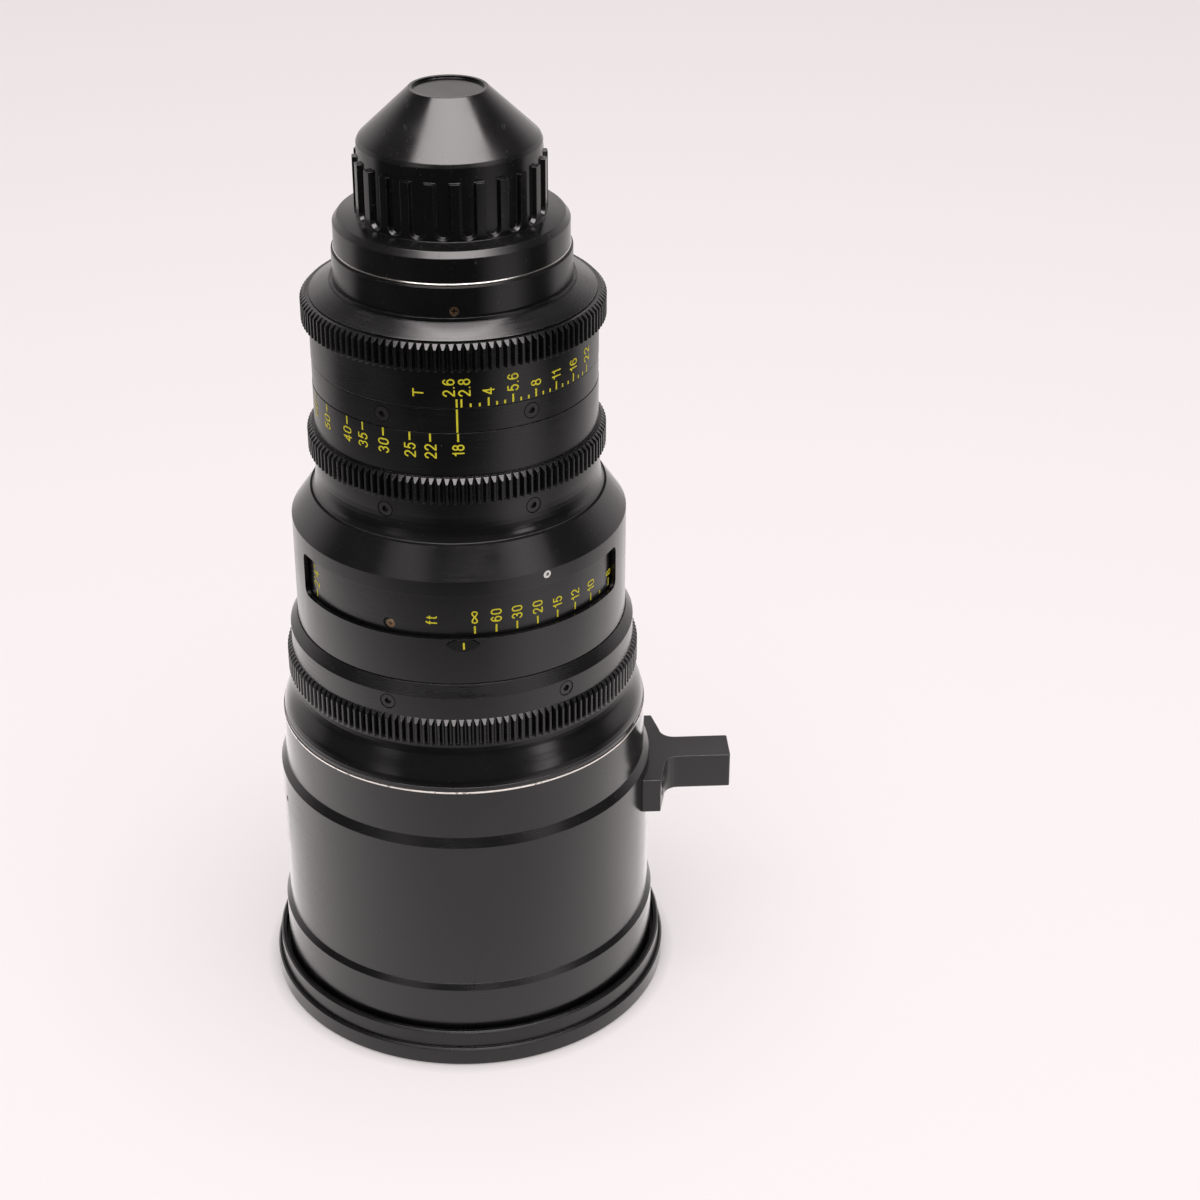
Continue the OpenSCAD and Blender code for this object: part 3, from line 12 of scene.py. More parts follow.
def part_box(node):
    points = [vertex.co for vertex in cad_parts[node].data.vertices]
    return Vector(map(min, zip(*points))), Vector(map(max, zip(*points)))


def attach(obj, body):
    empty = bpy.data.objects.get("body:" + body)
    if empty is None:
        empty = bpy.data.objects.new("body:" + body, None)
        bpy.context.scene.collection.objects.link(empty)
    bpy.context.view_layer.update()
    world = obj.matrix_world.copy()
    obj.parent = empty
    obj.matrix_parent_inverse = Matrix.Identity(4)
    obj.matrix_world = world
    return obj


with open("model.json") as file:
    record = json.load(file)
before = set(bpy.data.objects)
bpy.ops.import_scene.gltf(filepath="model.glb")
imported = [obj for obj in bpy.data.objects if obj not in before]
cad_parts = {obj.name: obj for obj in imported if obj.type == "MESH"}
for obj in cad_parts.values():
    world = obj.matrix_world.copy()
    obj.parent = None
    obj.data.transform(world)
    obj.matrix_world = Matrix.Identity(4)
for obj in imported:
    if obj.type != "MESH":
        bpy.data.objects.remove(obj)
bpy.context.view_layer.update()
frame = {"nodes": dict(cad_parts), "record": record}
nodes = frame["nodes"]
MM = 0.001

# Camera, from the ellipses of the rings in the photograph
CAMERA_PLACE = Vector((0, -0.7324, 0.55266))
CAMERA_AIM = Vector((0.04792, 0, 0.14527))
CAMERA_ROLL = math.radians(0.252)
CAMERA_LENS = 72.37
CAMERA_SENSOR = 36
CAMERA_CLIP = (0.01, 100)

# Studio. Azimuths of the lights are counted from the front, like those on the lens.
PALE = (0.913, 0.855, 0.855)
FLOOR_SIZE = 16
FLOOR_MATT = 0.5
FLOOR_GLOW = 0.62

# Table as the camera sees it: how far from the lens each shade begins and ends, and the glow at both
CONTACT_SHADE = (0.0712, 0.077, 0.36, FLOOR_GLOW)
NEAR_SHADE = (0.075, 0.16, 0.575, FLOOR_GLOW)

# Table as the black finishes mirror it: pools of light with their centre, the radii where they begin to
# fade and end, and the glow at both. TABLE_BACK rises from front to back instead.
TABLE_POOL = ((0.02, 0.15), 0.36, 0.57, 1.2, 0.08)
TABLE_PATCHES = [((-0.16, 0.1), 0.08, 0.28, 0.65, 0), ((0.15, 0.08), 0.09, 0.24, 0.6, 0),
                 ((0.31, -0.31), 0.06, 0.24, 0.7, 0), ((0.57, -0.47), 0.12, 0.36, 0.75, 0),
                 ((-0.34, -0.16), 0.04, 0.3, 0.3, 0)]
TABLE_BACK = (0.1, 0.3, 0, 0.9)

# Lights: a place is an azimuth, an elevation and a distance from the point that they aim at. A fade is the
# share of the glow that is left at the rim, and FACE_FADE where it starts and ends, as shares of the width.
SOFTBOX_AIM = Vector((0, 0, 0.2))
SOFTBOX_PLACE = (9, 76.5, 1.5)
SOFTBOX_WIDTH = 1.66
SOFTBOX_POWER = 21
SOFTBOX_GLOW = 10.5
SOFTBOX_FADE = 0.88
# Place, width and glow of each
SIDE_LIGHTS = [((-43, 36, 2.0), 1.0, 1.1), ((50, 36, 2.0), 1.15, 1.7),
               ((-48, 0, 2.0), 0.6, 1.1), ((48, 2, 2.0), 0.6, 3.2)]
SIDE_FADE = 0.5
FACE_FADE = (0.1, 0.5)
FACE_CORNERS = 96

# Room: its light, what the camera sees of it, and what is mirrored of it and of the backdrop behind the lens
SKY_LIGHT = 0.4
SKY_SEEN = 0.82
ROOM = 0.17
BACKDROP = 1.0
BACKDROP_FRONT = (0.1, 0.5)
BACKDROP_TOP = (0.3, 0.6)

# Finishes: colours in linear light, roughness of what lies on them, and depths of their relief in mm
DUST = (0.3, 0.28, 0.26)
DUST_COVER = 0.6
DUST_ROUGHNESS = 0.9
# Colour of worn edges, which on the foot and the gear rings is also a painted edge highlight
WORN_METAL_AND_EDGE_HIGHLIGHT = (0.2, 0.195, 0.19)
WORN_METAL_ROUGHNESS = 0.42
WORN_PLASTIC = (0.16, 0.155, 0.15)
SCRATCH = (0.035, 0.035, 0.035)
SCUFF = (0.05, 0.05, 0.05)
SCUFF_ROUGHNESS = 0.55
# Painted shade on the flat faces of the mount's steel
PAINTED_SHADE_BLACK = (0.006, 0.006, 0.0065)
GLASS_ROUGHNESS = 0.02
GLASS_IOR = 1.6
PAINT_ROUGHNESS = 0.55
PAINT_THIN_SHADE = 0.45
TURNING_DEPTH = 0.004
GRAIN_DEPTH = 0.0035
GLASS_DEPTH = 0.0004
PAINT_DEPTH = 0.02
BEVEL_SAMPLES = 6

# Heights in mm where a finish changes, and the top of the painted shade on the mount's steel (MOUNT_RIM)
BARE_RIM = 108.5
MOUNT_RIM = 278.45
NECK_ROOT = 194.5

# Noise drawn out around the lens axis, as turning leaves it
ROUND_ABOUT = (0.02, 0.02, 1)

# Lettering: sizes in mm, the step of an arc in degrees
NUMBER_CAP = 3.9
FOCUS_CAP = 3.75
SIGN_CAP = 3.6
STROKE = 0.5
LETTER_GAP = 0.56
INFINITY = "oo"
INFINITY_SIZE = (4.6, 2.1)
SHARP_TURN = math.radians(30)
SAME_POINT = 0.001
MERGED = 1e-5
ARC_STEP = 18
EIGHT_STEPS = 40
PEN_CORNERS = 16

# Engraved scales: sizes in mm, places as the azimuth from the front, in degrees
MARK_W = 0.6
MARK_LIFT = 0.05
MARK_CURVE_STEP = 0.8
LETTER_TO_TICK = 0.9
TICK = 2.8
MINOR_TICK = 1.2
BAND_STEP = 0.1
# Number, place, and how far the number is moved from its tick
IRIS_SCALE = [("2.6", 0, -2.9), ("2.8", 1.8, 1.2), ("4", 12.2, 0), ("5.6", 22, 0), ("8", 32, 0),
              ("11", 42, 0), ("16", 52.2, 0), ("22", 62.5, 0)]
IRIS_FIRST_STEPPED = 1
IRIS_THIRDS = 3
IRIS_TICK_INSET = 0.3
IRIS_SIGN = ("T", -14.6, 3.3)
ZOOM_SCALE = [("18", 0.2), ("22", -10.5), ("25", -18.6), ("30", -29.7), ("35", -39.4), ("40", -47.8),
              ("50", -61.9), ("60", -75), ("80", -94.8)]
ZOOM_TICK_INSET = 0.1
FOCUS_SCALE = [(INFINITY, 4.1), ("60", 11.5), ("30", 18.9), ("20", 26.6), ("15", 34.7), ("12", 42.8),
               ("10", 51.2), ("", 57), ("8", 63.8), ("", 69.5), ("7", 76), ("6", 94), ("5'6\"", 106),
               ("5", 121), ("4'6\"", 141), ("4", 166), ("3'6\"", 198), ("3", 239), ("2'9\"", 266),
               ("2'4\"", 299)]
FOCUS_SIGN = ("ft", -10.6, 3.4)
FOCUS_TICK_Z = 164.4
PLATE_LINE_AZ = 0.2
PLATE_LINE_INSET = 0.9

# Painted shade in the joint between the housing and the neck: radii and heights of the profile of a dark
# strip on the neck's root
NECK_SEAM_SHADE = [(49.85, 193.95), (49.4, 194.13), (49.2, 194.36)]
SEAM_STEPS = 180

# Screws with gaps around their heads, drawn as flat rings of painted shade: node, body, radius of the
# surface and azimuth of the first
SCREW_GAPS = [("focus_screws", "focus_ring", 59.2, 34.75), ("neck_screws", "barrel", 47.6, 30),
              ("index_screws", "barrel", 47.0, 30)]
SCREW_HEAD_R = 2.5
SCREW_GAP = 0.27
RING_SCREWS = 6
RING_STEPS = 40

# Cross-headed screws. A cross has a reach and a half width, and a head a radius and a rise before them. The
# collar's crosses are flat painted shade.
# The recess is a flat ring of painted shade. It has an inner and an outer radius, and is turned from its
# screw by some degrees.
COLLAR_SCREWS = 3
COLLAR_CROSS = (0.9, 0.2)
DRUM_SCREW_AZ = -25.2
DRUM_SCREW_Z = 166.4
DRUM_SCREW_HEAD = (1.55, 0.12, 0.75, 0.18)
DRUM_RECESS = (1.2, 1.75)
DRUM_RECESS_TURN = 1.0
HEAD_STEPS = 32


def spot(az, r, z):
    """The point at an azimuth from the front, in degrees, and at r and z."""
    a = math.radians(az)
    return Vector((r * math.sin(a), -r * math.cos(a), z))


def outer_radius(node):
    """How far a ring's wall reaches from the lens axis, in metres."""
    low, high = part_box(node)
    return (high.x - low.x) / 2


def outer_radius_front(node):
    """How far a piece on the front reaches from the lens axis, in metres."""
    return -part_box(node)[0].y


def add_to_scene(name, data):
    """A new object with its mesh, light or camera."""
    obj = bpy.data.objects.new(name, data)
    bpy.context.scene.collection.objects.link(obj)
    return obj


# Materials


class Tree:
    """A node tree, with short names for the nodes that are used most."""

    def __init__(self, data):
        self.data = data

    def add(self, kind, **settings):
        node = self.data.nodes.new(kind)
        for key, value in settings.items():
            setattr(node, key, value)
        return node

    def join(self, value, socket):
        """Links an output to a socket, or sets a plain value on it."""
        if isinstance(value, bpy.types.NodeSocket):
            self.data.links.new(value, socket)
        else:
            socket.default_value = value

    def maths(self, operation, a, b):
        node = self.add("ShaderNodeMath", operation=operation)
        self.join(a, node.inputs[0])
        self.join(b, node.inputs[1])
        return node.outputs[0]

    def spread(self, value, low, high, to_low=0.0, to_high=1.0):
        """Maps low..high to to_low..to_high, and holds it at the ends."""
        node = self.add("ShaderNodeMapRange")
        ends = {"From Min": low, "From Max": high, "To Min": to_low, "To Max": to_high}
        self.join(value, node.inputs["Value"])
        for name, number in ends.items():
            self.join(number, node.inputs[name])
        return node.outputs["Result"]

    def mask(self, value, start, full, most=1.0):
        """0 where a value is under start, rising to most where it is full."""
        return self.spread(value, start, full, 0, most)

    def mix(self, kind, mask, under, over):
        """Lays one colour or value over another, where the mask is."""
        node = self.add("ShaderNodeMix", data_type=kind)
        self.join(mask, node.inputs["Factor"])
        self.join(under, node.inputs["A"])
        self.join(over, node.inputs["B"])
        return node.outputs["Result"]

    def object_place(self):
        return self.add("ShaderNodeTexCoord").outputs["Object"]

    def axes(self, vector):
        node = self.add("ShaderNodeSeparateXYZ")
        self.join(vector, node.inputs[0])
        return node.outputs

    def glow(self, strength):
        """Pale emission."""
        node = self.add("ShaderNodeEmission")
        node.inputs["Color"].default_value = (*PALE, 1)
        self.join(strength, node.inputs["Strength"])
        return node.outputs[0]


class Look(Tree):
    """A procedural material, built up in layers of colour and roughness."""

    def __init__(self, name, colour, roughness, metallic=0.0, specular=0.5):
        self.material = bpy.data.materials.new(name)
        self.material.use_nodes = True
        super().__init__(self.material.node_tree)
        self.name = name
        self.shader = self.data.nodes["Principled BSDF"]
        self.shader.inputs["Base Color"].default_value = (*colour, 1)
        self.shader.inputs["Roughness"].default_value = roughness
        self.shader.inputs["Metallic"].default_value = metallic
        self.shader.inputs["Specular IOR Level"].default_value = specular
        self.colour = (*colour, 1)
        self.roughness = roughness
        self.metallic = metallic
        self.place = self.object_place()
        self.normal = None
        self.edges = None

    def noise(self, size, detail=3.0, stretch=(1, 1, 1), shift=0.0):
        """Noise with spots of about the given size in mm, drawn out along an axis where stretch is small."""
        mapping = self.add("ShaderNodeMapping")
        self.join(self.place, mapping.inputs["Vector"])
        mapping.inputs["Scale"].default_value = stretch
        mapping.inputs["Location"].default_value = (shift, shift, shift)
        node = self.add("ShaderNodeTexNoise")
        self.join(mapping.outputs["Vector"], node.inputs["Vector"])
        node.inputs["Scale"].default_value = 1 / (size * MM)
        node.inputs["Detail"].default_value = detail
        return node.outputs["Fac"]

    def by_height(self, height, soft, below, above):
        """One value below a height in mm and another above it, with a soft change between them."""
        z = self.axes(self.place)["Z"]
        return self.spread(z, (height - soft) * MM, (height + soft) * MM, below, above)

    def blend_colour(self, mask, colour):
        """Lays a colour over what is there, where the mask is."""
        self.colour = self.mix("RGBA", mask, self.colour, (*colour, 1))

    def blend_value(self, name, mask, value):
        """Lays a roughness or a metallic value over what is there, where the mask is."""
        setattr(self, name, self.mix("FLOAT", mask, getattr(self, name), value))

    def round_edges(self, radius):
        """Shades the edges as rounded by a radius in mm, and keeps a mask of where they are."""
        bevel = self.add("ShaderNodeBevel", samples=BEVEL_SAMPLES)
        bevel.inputs["Radius"].default_value = radius * MM
        self.normal = bevel.outputs["Normal"]
        geometry = self.add("ShaderNodeNewGeometry")
        turn = self.add("ShaderNodeVectorMath", operation="DOT_PRODUCT")
        self.join(self.normal, turn.inputs[0])
        self.join(geometry.outputs["Normal"], turn.inputs[1])
        self.edges = self.maths("SUBTRACT", 1.0, turn.outputs["Value"])

    def bump(self, height, depth):
        """Raises the surface by a height of 0 to 1 times a depth in mm."""
        node = self.add("ShaderNodeBump")
        self.join(height, node.inputs["Height"])
        node.inputs["Distance"].default_value = depth * MM
        if self.normal is not None:
            self.join(self.normal, node.inputs["Normal"])
        self.normal = node.outputs["Normal"]

    def finish(self):
        """Joins the layers to the shader."""
        self.join(self.colour, self.shader.inputs["Base Color"])
        self.join(self.roughness, self.shader.inputs["Roughness"])
        self.join(self.metallic, self.shader.inputs["Metallic"])
        if self.normal is not None:
            self.join(self.normal, self.shader.inputs["Normal"])
        return self.material


def add_dust(look, amount):
    """Sparse pale specks, thicker in some places than in others."""
    more = 0.02 * amount
    specks = look.mask(look.noise(0.42, detail=1.5, shift=3), start=0.765 - more, full=0.8 - more)
    patches = look.spread(look.noise(24, detail=3, shift=7), 0.45, 0.7, to_low=0.1)
    dust = look.maths("MULTIPLY", specks, patches)
    look.blend_colour(look.maths("MULTIPLY", dust, DUST_COVER), DUST)
    look.blend_value("roughness", dust, DUST_ROUGHNESS)


def vary_roughness(look, noise, low, high, smoother, rougher):
    """Makes the finish smoother where a noise is low, and rougher where it is high."""
    change = look.spread(noise, low, high, -smoother, rougher)
    look.roughness = look.maths("ADD", change, look.roughness)


def worn_and_lit_edges(look, rub, start, full, rubbed):
    """Where the edges are worn, and on some pieces also lit as a painted highlight: on the sharper ones, and
    where a noise says that they are rubbed.
    """
    return look.maths("MULTIPLY", look.mask(look.edges, start, full), look.mask(rub, *rubbed))


def anodised(name, colour=(0.004, 0.004, 0.0045), roughness=0.22, specular=0.5, edge=0.22, wear=0.35,
             lines=1.0, dust=1.0, rubbed=(0.42, 0.66)):
    """Black anodised aluminium: turning marks, handling smudges, greyed edges (worn, and on some pieces a
    painted edge highlight) and dust.
    """
    look = Look(name, colour, roughness, specular=specular)
    look.round_edges(edge)
    turning = look.noise(0.35, detail=4, stretch=ROUND_ABOUT)
    smudge = look.noise(26, detail=4, stretch=(1, 1, 0.6), shift=2)
    rub = look.noise(1.6, detail=5, stretch=(0.5, 0.5, 1), shift=5)
    grain = look.noise(0.09, detail=2, shift=4)
    fine_scratches = look.noise(0.5, detail=2, stretch=(0.03, 0.03, 1), shift=9)
    vary_roughness(look, turning, 0.3, 0.7, smoother=0.035, rougher=0.035)
    vary_roughness(look, smudge, 0.35, 0.65, smoother=0.05, rougher=0.07)
    smudged = tuple(1.5 * c + 0.002 for c in colour)
    look.blend_colour(look.mask(smudge, start=0.42, full=0.75, most=0.7), smudged)
    # Greyed edges: wear, and on the foot and the gear rings also a painted edge highlight
    worn = worn_and_lit_edges(look, rub, start=0.06, full=0.28, rubbed=rubbed)
    look.blend_colour(look.maths("MULTIPLY", worn, wear), WORN_METAL_AND_EDGE_HIGHLIGHT)
    look.blend_value("roughness", worn, WORN_METAL_ROUGHNESS)
    look.blend_colour(look.mask(fine_scratches, start=0.74, full=0.8, most=0.35), SCRATCH)
    add_dust(look, dust)
    look.bump(turning, TURNING_DEPTH * lines)
    look.bump(grain, GRAIN_DEPTH)
    return look


def rimmed(look, height, colour, roughness):
    """Bares the metal above a height, in mm, with ragged gaps."""
    patches = look.noise(3.5, detail=4, stretch=(1, 1, 0.3), shift=6)
    ragged = look.spread(patches, 0.3, 0.42, to_low=0.35)
    bare = look.maths("MULTIPLY", look.by_height(height, soft=0.02, below=0, above=1), ragged)
    look.blend_colour(bare, colour)
    look.blend_value("metallic", bare, 1.0)
    look.blend_value("roughness", bare, roughness)
    return look


def dulled(look, height, roughness):
    """Roughens the foot of a ring, below a height in mm."""
    look.blend_value("roughness", look.by_height(height, soft=0.1, below=1, above=0), roughness)
    return look


def shaded_rim(look, height):
    """Paints shade on the metal below a height, in mm: its flat faces turn black and not metallic, and only
    its rounded edges stay bright metal to catch the light.
    """
    flat = look.spread(look.edges, 0.03, 0.1, to_low=1, to_high=0)
    painted_shade = look.maths("MULTIPLY", look.by_height(height, soft=0.03, below=1, above=0), flat)
    look.blend_colour(painted_shade, PAINTED_SHADE_BLACK)
    look.blend_value("metallic", painted_shade, 0.0)
    return look


def moulded(name, colour, roughness, grain, edge, wear, scuffs, dust, specular=0.5):
    """Moulded plastic: fine grain, rubbed edges, scuffs and dust."""
    look = Look(name, colour, roughness, specular=specular)
    look.round_edges(edge)
    skin = look.noise(0.25)
    smudge = look.noise(18, detail=4, shift=3)
    rub = look.noise(1.1, detail=5, shift=8)
    strokes = look.noise(1.8, detail=6, stretch=(1, 0.25, 0.6), shift=12)
    vary_roughness(look, smudge, 0.3, 0.7, smoother=0.06, rougher=0.08)
    worn = worn_and_lit_edges(look, rub, start=0.05, full=0.3, rubbed=(0.45, 0.7))
    look.blend_colour(look.maths("MULTIPLY", worn, wear), WORN_PLASTIC)
    scuffed = look.mask(strokes, start=0.66, full=0.74, most=scuffs)
    look.blend_colour(scuffed, SCUFF)
    look.blend_value("roughness", scuffed, SCUFF_ROUGHNESS)
    add_dust(look, dust)
    look.bump(skin, grain)
    return look


def metal(name, colour, roughness, lines=0.003, stain=(0.1, 0.09, 0.08), stained=0.25, edge=0.12):
    """Bare or plated metal with turning marks and light staining."""
    look = Look(name, colour, roughness, metallic=1.0)
    look.round_edges(edge)
    turning = look.noise(0.3, detail=4, stretch=ROUND_ABOUT)
    spots = look.noise(2.5, detail=5, shift=1)
    vary_roughness(look, turning, 0.3, 0.7, smoother=0.06, rougher=0.06)
    look.blend_colour(look.mask(spots, start=0.5, full=0.75, most=stained), stain)
    look.bump(turning, lines)
    return look


def glass(name, tint):
    """Coated optical glass with faint smears."""
    look = Look(name, tint, GLASS_ROUGHNESS)
    look.shader.inputs["Transmission Weight"].default_value = 1
    look.shader.inputs["IOR"].default_value = GLASS_IOR
    look.roughness = look.spread(look.noise(9, detail=4), 0.4, 0.75, to_low=0.01, to_high=0.06)
    look.bump(look.noise(0.6), GLASS_DEPTH)
    return look


def paint(name, colour):
    """Scale paint laid in the engraving."""
    look = Look(name, colour, PAINT_ROUGHNESS)
    wear = look.noise(0.3, detail=4)
    thin = tuple(PAINT_THIN_SHADE * c for c in colour)
    look.blend_colour(look.mask(wear, start=0.55, full=0.85, most=0.4), thin)
    look.bump(wear, PAINT_DEPTH)
    return look


LOOKS = [
    moulded("cap_matte", (0.005, 0.005, 0.0055), 0.3, grain=0.014, edge=0.25, wear=0.5, scuffs=0.5,
            dust=1.5, specular=0.36),
    anodised("ring_black"),
    rimmed(anodised("barrel_black", roughness=0.21), BARE_RIM, (0.78, 0.74, 0.7), 0.28),
    # foot_grey: edges greyed all along, as wear and as a painted highlight on its edges
    anodised("foot_grey", (0.021, 0.0205, 0.0215), 0.42, edge=0.6, wear=1.0, lines=0.2, dust=0.6,
             rubbed=(0.1, 0.4)),
    anodised("flare_black", roughness=0.20),
    # focus_black: greyed tooth edges, as wear and as a painted edge highlight
    anodised("focus_black", roughness=0.24, edge=0.14, wear=0.9),
    anodised("drum_black", roughness=0.26, dust=0.6),
    anodised("housing_black", roughness=0.19, edge=0.07, wear=0.2),
    anodised("plate_black", (0.002, 0.002, 0.002), 0.3, specular=0.3, edge=0.1, wear=0.1),
    dulled(anodised("neck_black", roughness=0.21), NECK_ROOT, 0.6),
    # zoom_black: greyed tooth edges, as wear and as a painted edge highlight
    anodised("zoom_black", roughness=0.23, edge=0.14, wear=0.8),
    anodised("index_black", roughness=0.22, edge=0.1, wear=0.12),
    # iris_black: greyed tooth edges, as wear and as a painted edge highlight
    anodised("iris_black", roughness=0.23, edge=0.14, wear=0.8),
    anodised("shoulder_black", roughness=0.2, wear=0.5),
    anodised("collar_black", (0.0035, 0.0035, 0.004), 0.19, wear=0.3, dust=1.3),
    # mount_steel: painted shade, black on its flat faces below MOUNT_RIM, with only the edges left bright
    # metal
    shaded_rim(metal("mount_steel", (0.78, 0.76, 0.72), 0.16, edge=0.8), MOUNT_RIM),
    moulded("cap_gloss", (0.0035, 0.0035, 0.0038), 0.19, grain=0.004, edge=0.35, wear=0.45, scuffs=0.3,
            dust=1.0),
    anodised("screw_dark", (0.009, 0.0085, 0.008), 0.3, edge=0.12, wear=0.5, dust=0.3),
    metal("screw_brass", (0.27, 0.185, 0.11), 0.42, stain=(0.05, 0.03, 0.015), stained=0.8),
    metal("screw_bright", (0.66, 0.65, 0.63), 0.3),
    # gap_black: painted shade, a flat black that hardly mirrors, for the neck joint, the screw gaps, the
    # collar's crosses and the drum screw's recess
    anodised("gap_black", (0.0015, 0.0015, 0.0015), 0.7, specular=0.1, wear=0, dust=0),
    anodised("inner_black", (0.012, 0.012, 0.012), 0.55, dust=0),
    metal("inner_bare", (0.7, 0.7, 0.7), 0.35),
    metal("follower_brass", (0.5, 0.27, 0.11), 0.3),
    metal("pin_steel", (0.6, 0.6, 0.6), 0.2),
    metal("blade_steel", (0.045, 0.045, 0.05), 0.4, lines=0.001),
    glass("glass_front", (0.82, 0.9, 0.95)),
    glass("glass_inner", (0.9, 0.95, 0.97)),
    paint("scale_yellow", (0.95, 0.85, 0.025)),
]
FINISHED = {look.name: look.finish() for look in LOOKS}
for part in frame["record"]["subparts"]:
    for holder in nodes[part["node"]].material_slots:
        holder.material = FINISHED[part["material_slot"]]


# Lettering


def arc(x, y, rx, ry, start, end):
    """Points of an elliptic arc, from one angle to another in degrees."""
    steps = max(2, round(abs(end - start) / ARC_STEP))
    turns = [math.radians(start + (end - start) * i / steps) for i in range(steps + 1)]
    return [(x + rx * math.cos(a), y + ry * math.sin(a)) for a in turns]


def stadium(x, y, rx, ry, straight):
    """A closed round form with straight sides."""
    top = arc(x, y + straight, rx, ry, 180, 0)
    low = arc(x, y - straight, rx, ry, 0, -180)
    return top + low + top[:1]


def turned_over(strokes):
    """The strokes turned half round in their box."""
    return [[(1 - x, 1 - y) for x, y in stroke] for stroke in strokes]


def lying_eight():
    """The sign for infinity, closed, in a box of 1 by 1."""
    turns = [2 * math.pi * i / EIGHT_STEPS for i in range(EIGHT_STEPS + 1)]
    return [(0.5 + 0.5 * math.cos(a), 0.5 + 0.5 * math.sin(2 * a)) for a in turns]


SIX = [stadium(0.5, 0.31, 0.5, 0.31, 0),
       arc(0.56, 0.52, 0.56, 0.48, 195, 90) + arc(0.56, 0.72, 0.36, 0.28, 90, 25)[1:]]
CROSSBAR = [(0, 0.68), (0.95, 0.68)]
# Each sign has its width as a share of the height, and its strokes in a box of 1 by 1
SIGNS = {
    "0": (0.56, [stadium(0.5, 0.5, 0.5, 0.28, 0.22)]),
    "1": (0.32, [[(0.9, 0), (0.9, 1)], arc(0, 1, 0.9, 0.24, 0, -90)]),
    "2": (0.56, [arc(0.5, 0.71, 0.5, 0.29, 175, -20) + [(0.62, 0.36), (0.1, 0.1), (0, 0), (1, 0)]]),
    "3": (0.56, [arc(0.48, 0.76, 0.45, 0.24, 165, -90), arc(0.48, 0.27, 0.52, 0.27, 85, -165)]),
    "4": (0.6, [[(0.74, 0), (0.74, 1), (0, 0.27), (1, 0.27)]]),
    "5": (0.56, [[(0.93, 1), (0.2, 1), (0.08, 0.5)] + arc(0.47, 0.33, 0.53, 0.33, 138, -155)]),
    "6": (0.56, SIX),
    "7": (0.54, [[(0, 1), (1, 1), (0.6, 0.5), (0.36, 0)]]),
    "8": (0.56, [stadium(0.5, 0.77, 0.42, 0.23, 0), stadium(0.5, 0.28, 0.5, 0.28, 0)]),
    "9": (0.56, turned_over(SIX)),
    ".": (0.13, [[(0.5, 0), (0.5, 0.02)]]),
    "'": (0.13, [[(0.5, 1), (0.5, 0.78)]]),
    '"': (0.32, [[(0, 1), (0, 0.78)], [(1, 1), (1, 0.78)]]),
    "T": (0.8, [[(0, 1), (1, 1)], [(0.5, 1), (0.5, 0)]]),
    "f": (0.36, [[(0.38, 0), (0.38, 0.78)] + arc(0.95, 0.78, 0.57, 0.24, 180, 90)[1:], CROSSBAR]),
    "t": (0.36, [[(0.38, 0.92), (0.38, 0.2)] + arc(0.85, 0.2, 0.47, 0.2, 180, 270)[1:], CROSSBAR]),
}


class Strokes:
    """Outlines of pen strokes on a plane, joined into one flat face set without overlaps."""

    def __init__(self):
        self.points = []
        self.faces = []

    def polygon(self, corners):
        """One part of a stroke, which may lie over others."""
        first = len(self.points)
        self.points += corners
        self.faces.append(list(range(first, first + len(corners))))

    def dot(self, centre):
        """A round end of a stroke."""
        turns = [math.radians(360 / PEN_CORNERS * k) for k in range(PEN_CORNERS)]
        self.polygon([centre + STROKE / 2 * Vector((math.cos(t), math.sin(t))) for t in turns])

    def ribbon(self, line, closed):
        """A stroke along points that turn gently."""
        count = len(line)
        sides = []
        for i, point in enumerate(line):
            before = point - line[i - 1] if i or closed else line[1] - point
            after = line[(i + 1) % count] - point if i < count - 1 or closed else before
            along = (before.normalized() + after.normalized()).normalized()
            across = Vector((-along.y, along.x)) * STROKE / 2 / along.dot(after.normalized())
            sides.append((point + across, point - across))
        for i in range(count if closed else count - 1):
            (a, b), (c, d) = sides[i], sides[(i + 1) % count]
            self.polygon([a, b, d, c])
        if not closed:
            self.dot(line[0])
            self.dot(line[-1])

    def stroke(self, line):
        """A stroke along any points, with round corners where it turns sharply."""
        line = [Vector(point) for point in line]
        pairs = zip(line, line[1:])
        line = line[:1] + [point for before, point in pairs if (point - before).length > SAME_POINT]
        closed = (line[0] - line[-1]).length < SAME_POINT
        if closed:
            self.ribbon(line[:-1], True)
            return
        start = 0
        for i in range(1, len(line) - 1):
            if (line[i] - line[i - 1]).angle(line[i + 1] - line[i]) > SHARP_TURN:
                self.ribbon(line[start:i + 1], False)
                start = i
        self.ribbon(line[start:], False)

    def flat(self):
        """The strokes as a mesh, without the faces that close a letter's openings."""
        triangles = 1
        result = delaunay_2d_cdt(self.points, [], self.faces, triangles, MERGED)
        points, _, faces, _, _, covered = result
        mesh = bmesh.new()
        verts = [mesh.verts.new((*point, 0)) for point in points]
        for face, sources in zip(faces, covered):
            if sources:
                mesh.faces.new([verts[i] for i in face])
        bmesh.ops.delete(mesh, geom=[v for v in verts if not v.link_faces], context="VERTS")
        return mesh


def letters(text, cap):
    """Flat letters, cap mm high, that start at x = 0 and are centred on y = 0."""
    pen = Strokes()
    inset = STROKE / 2
    if text == INFINITY:
        length, height = (size - STROKE for size in INFINITY_SIZE)
        pen.stroke([(inset + length * x, height * (y - 0.5)) for x, y in lying_eight()])
        return pen.flat()
    left = 0
    for sign in text:
        share, strokes = SIGNS[sign]
        width = max(share * cap - STROKE, 0)
        for line in strokes:
            pen.stroke([(left + inset + width * x, (cap - STROKE) * (y - 0.5)) for x, y in line])
        left += width + STROKE + LETTER_GAP
    return pen.flat()


# Flat forms of the screws


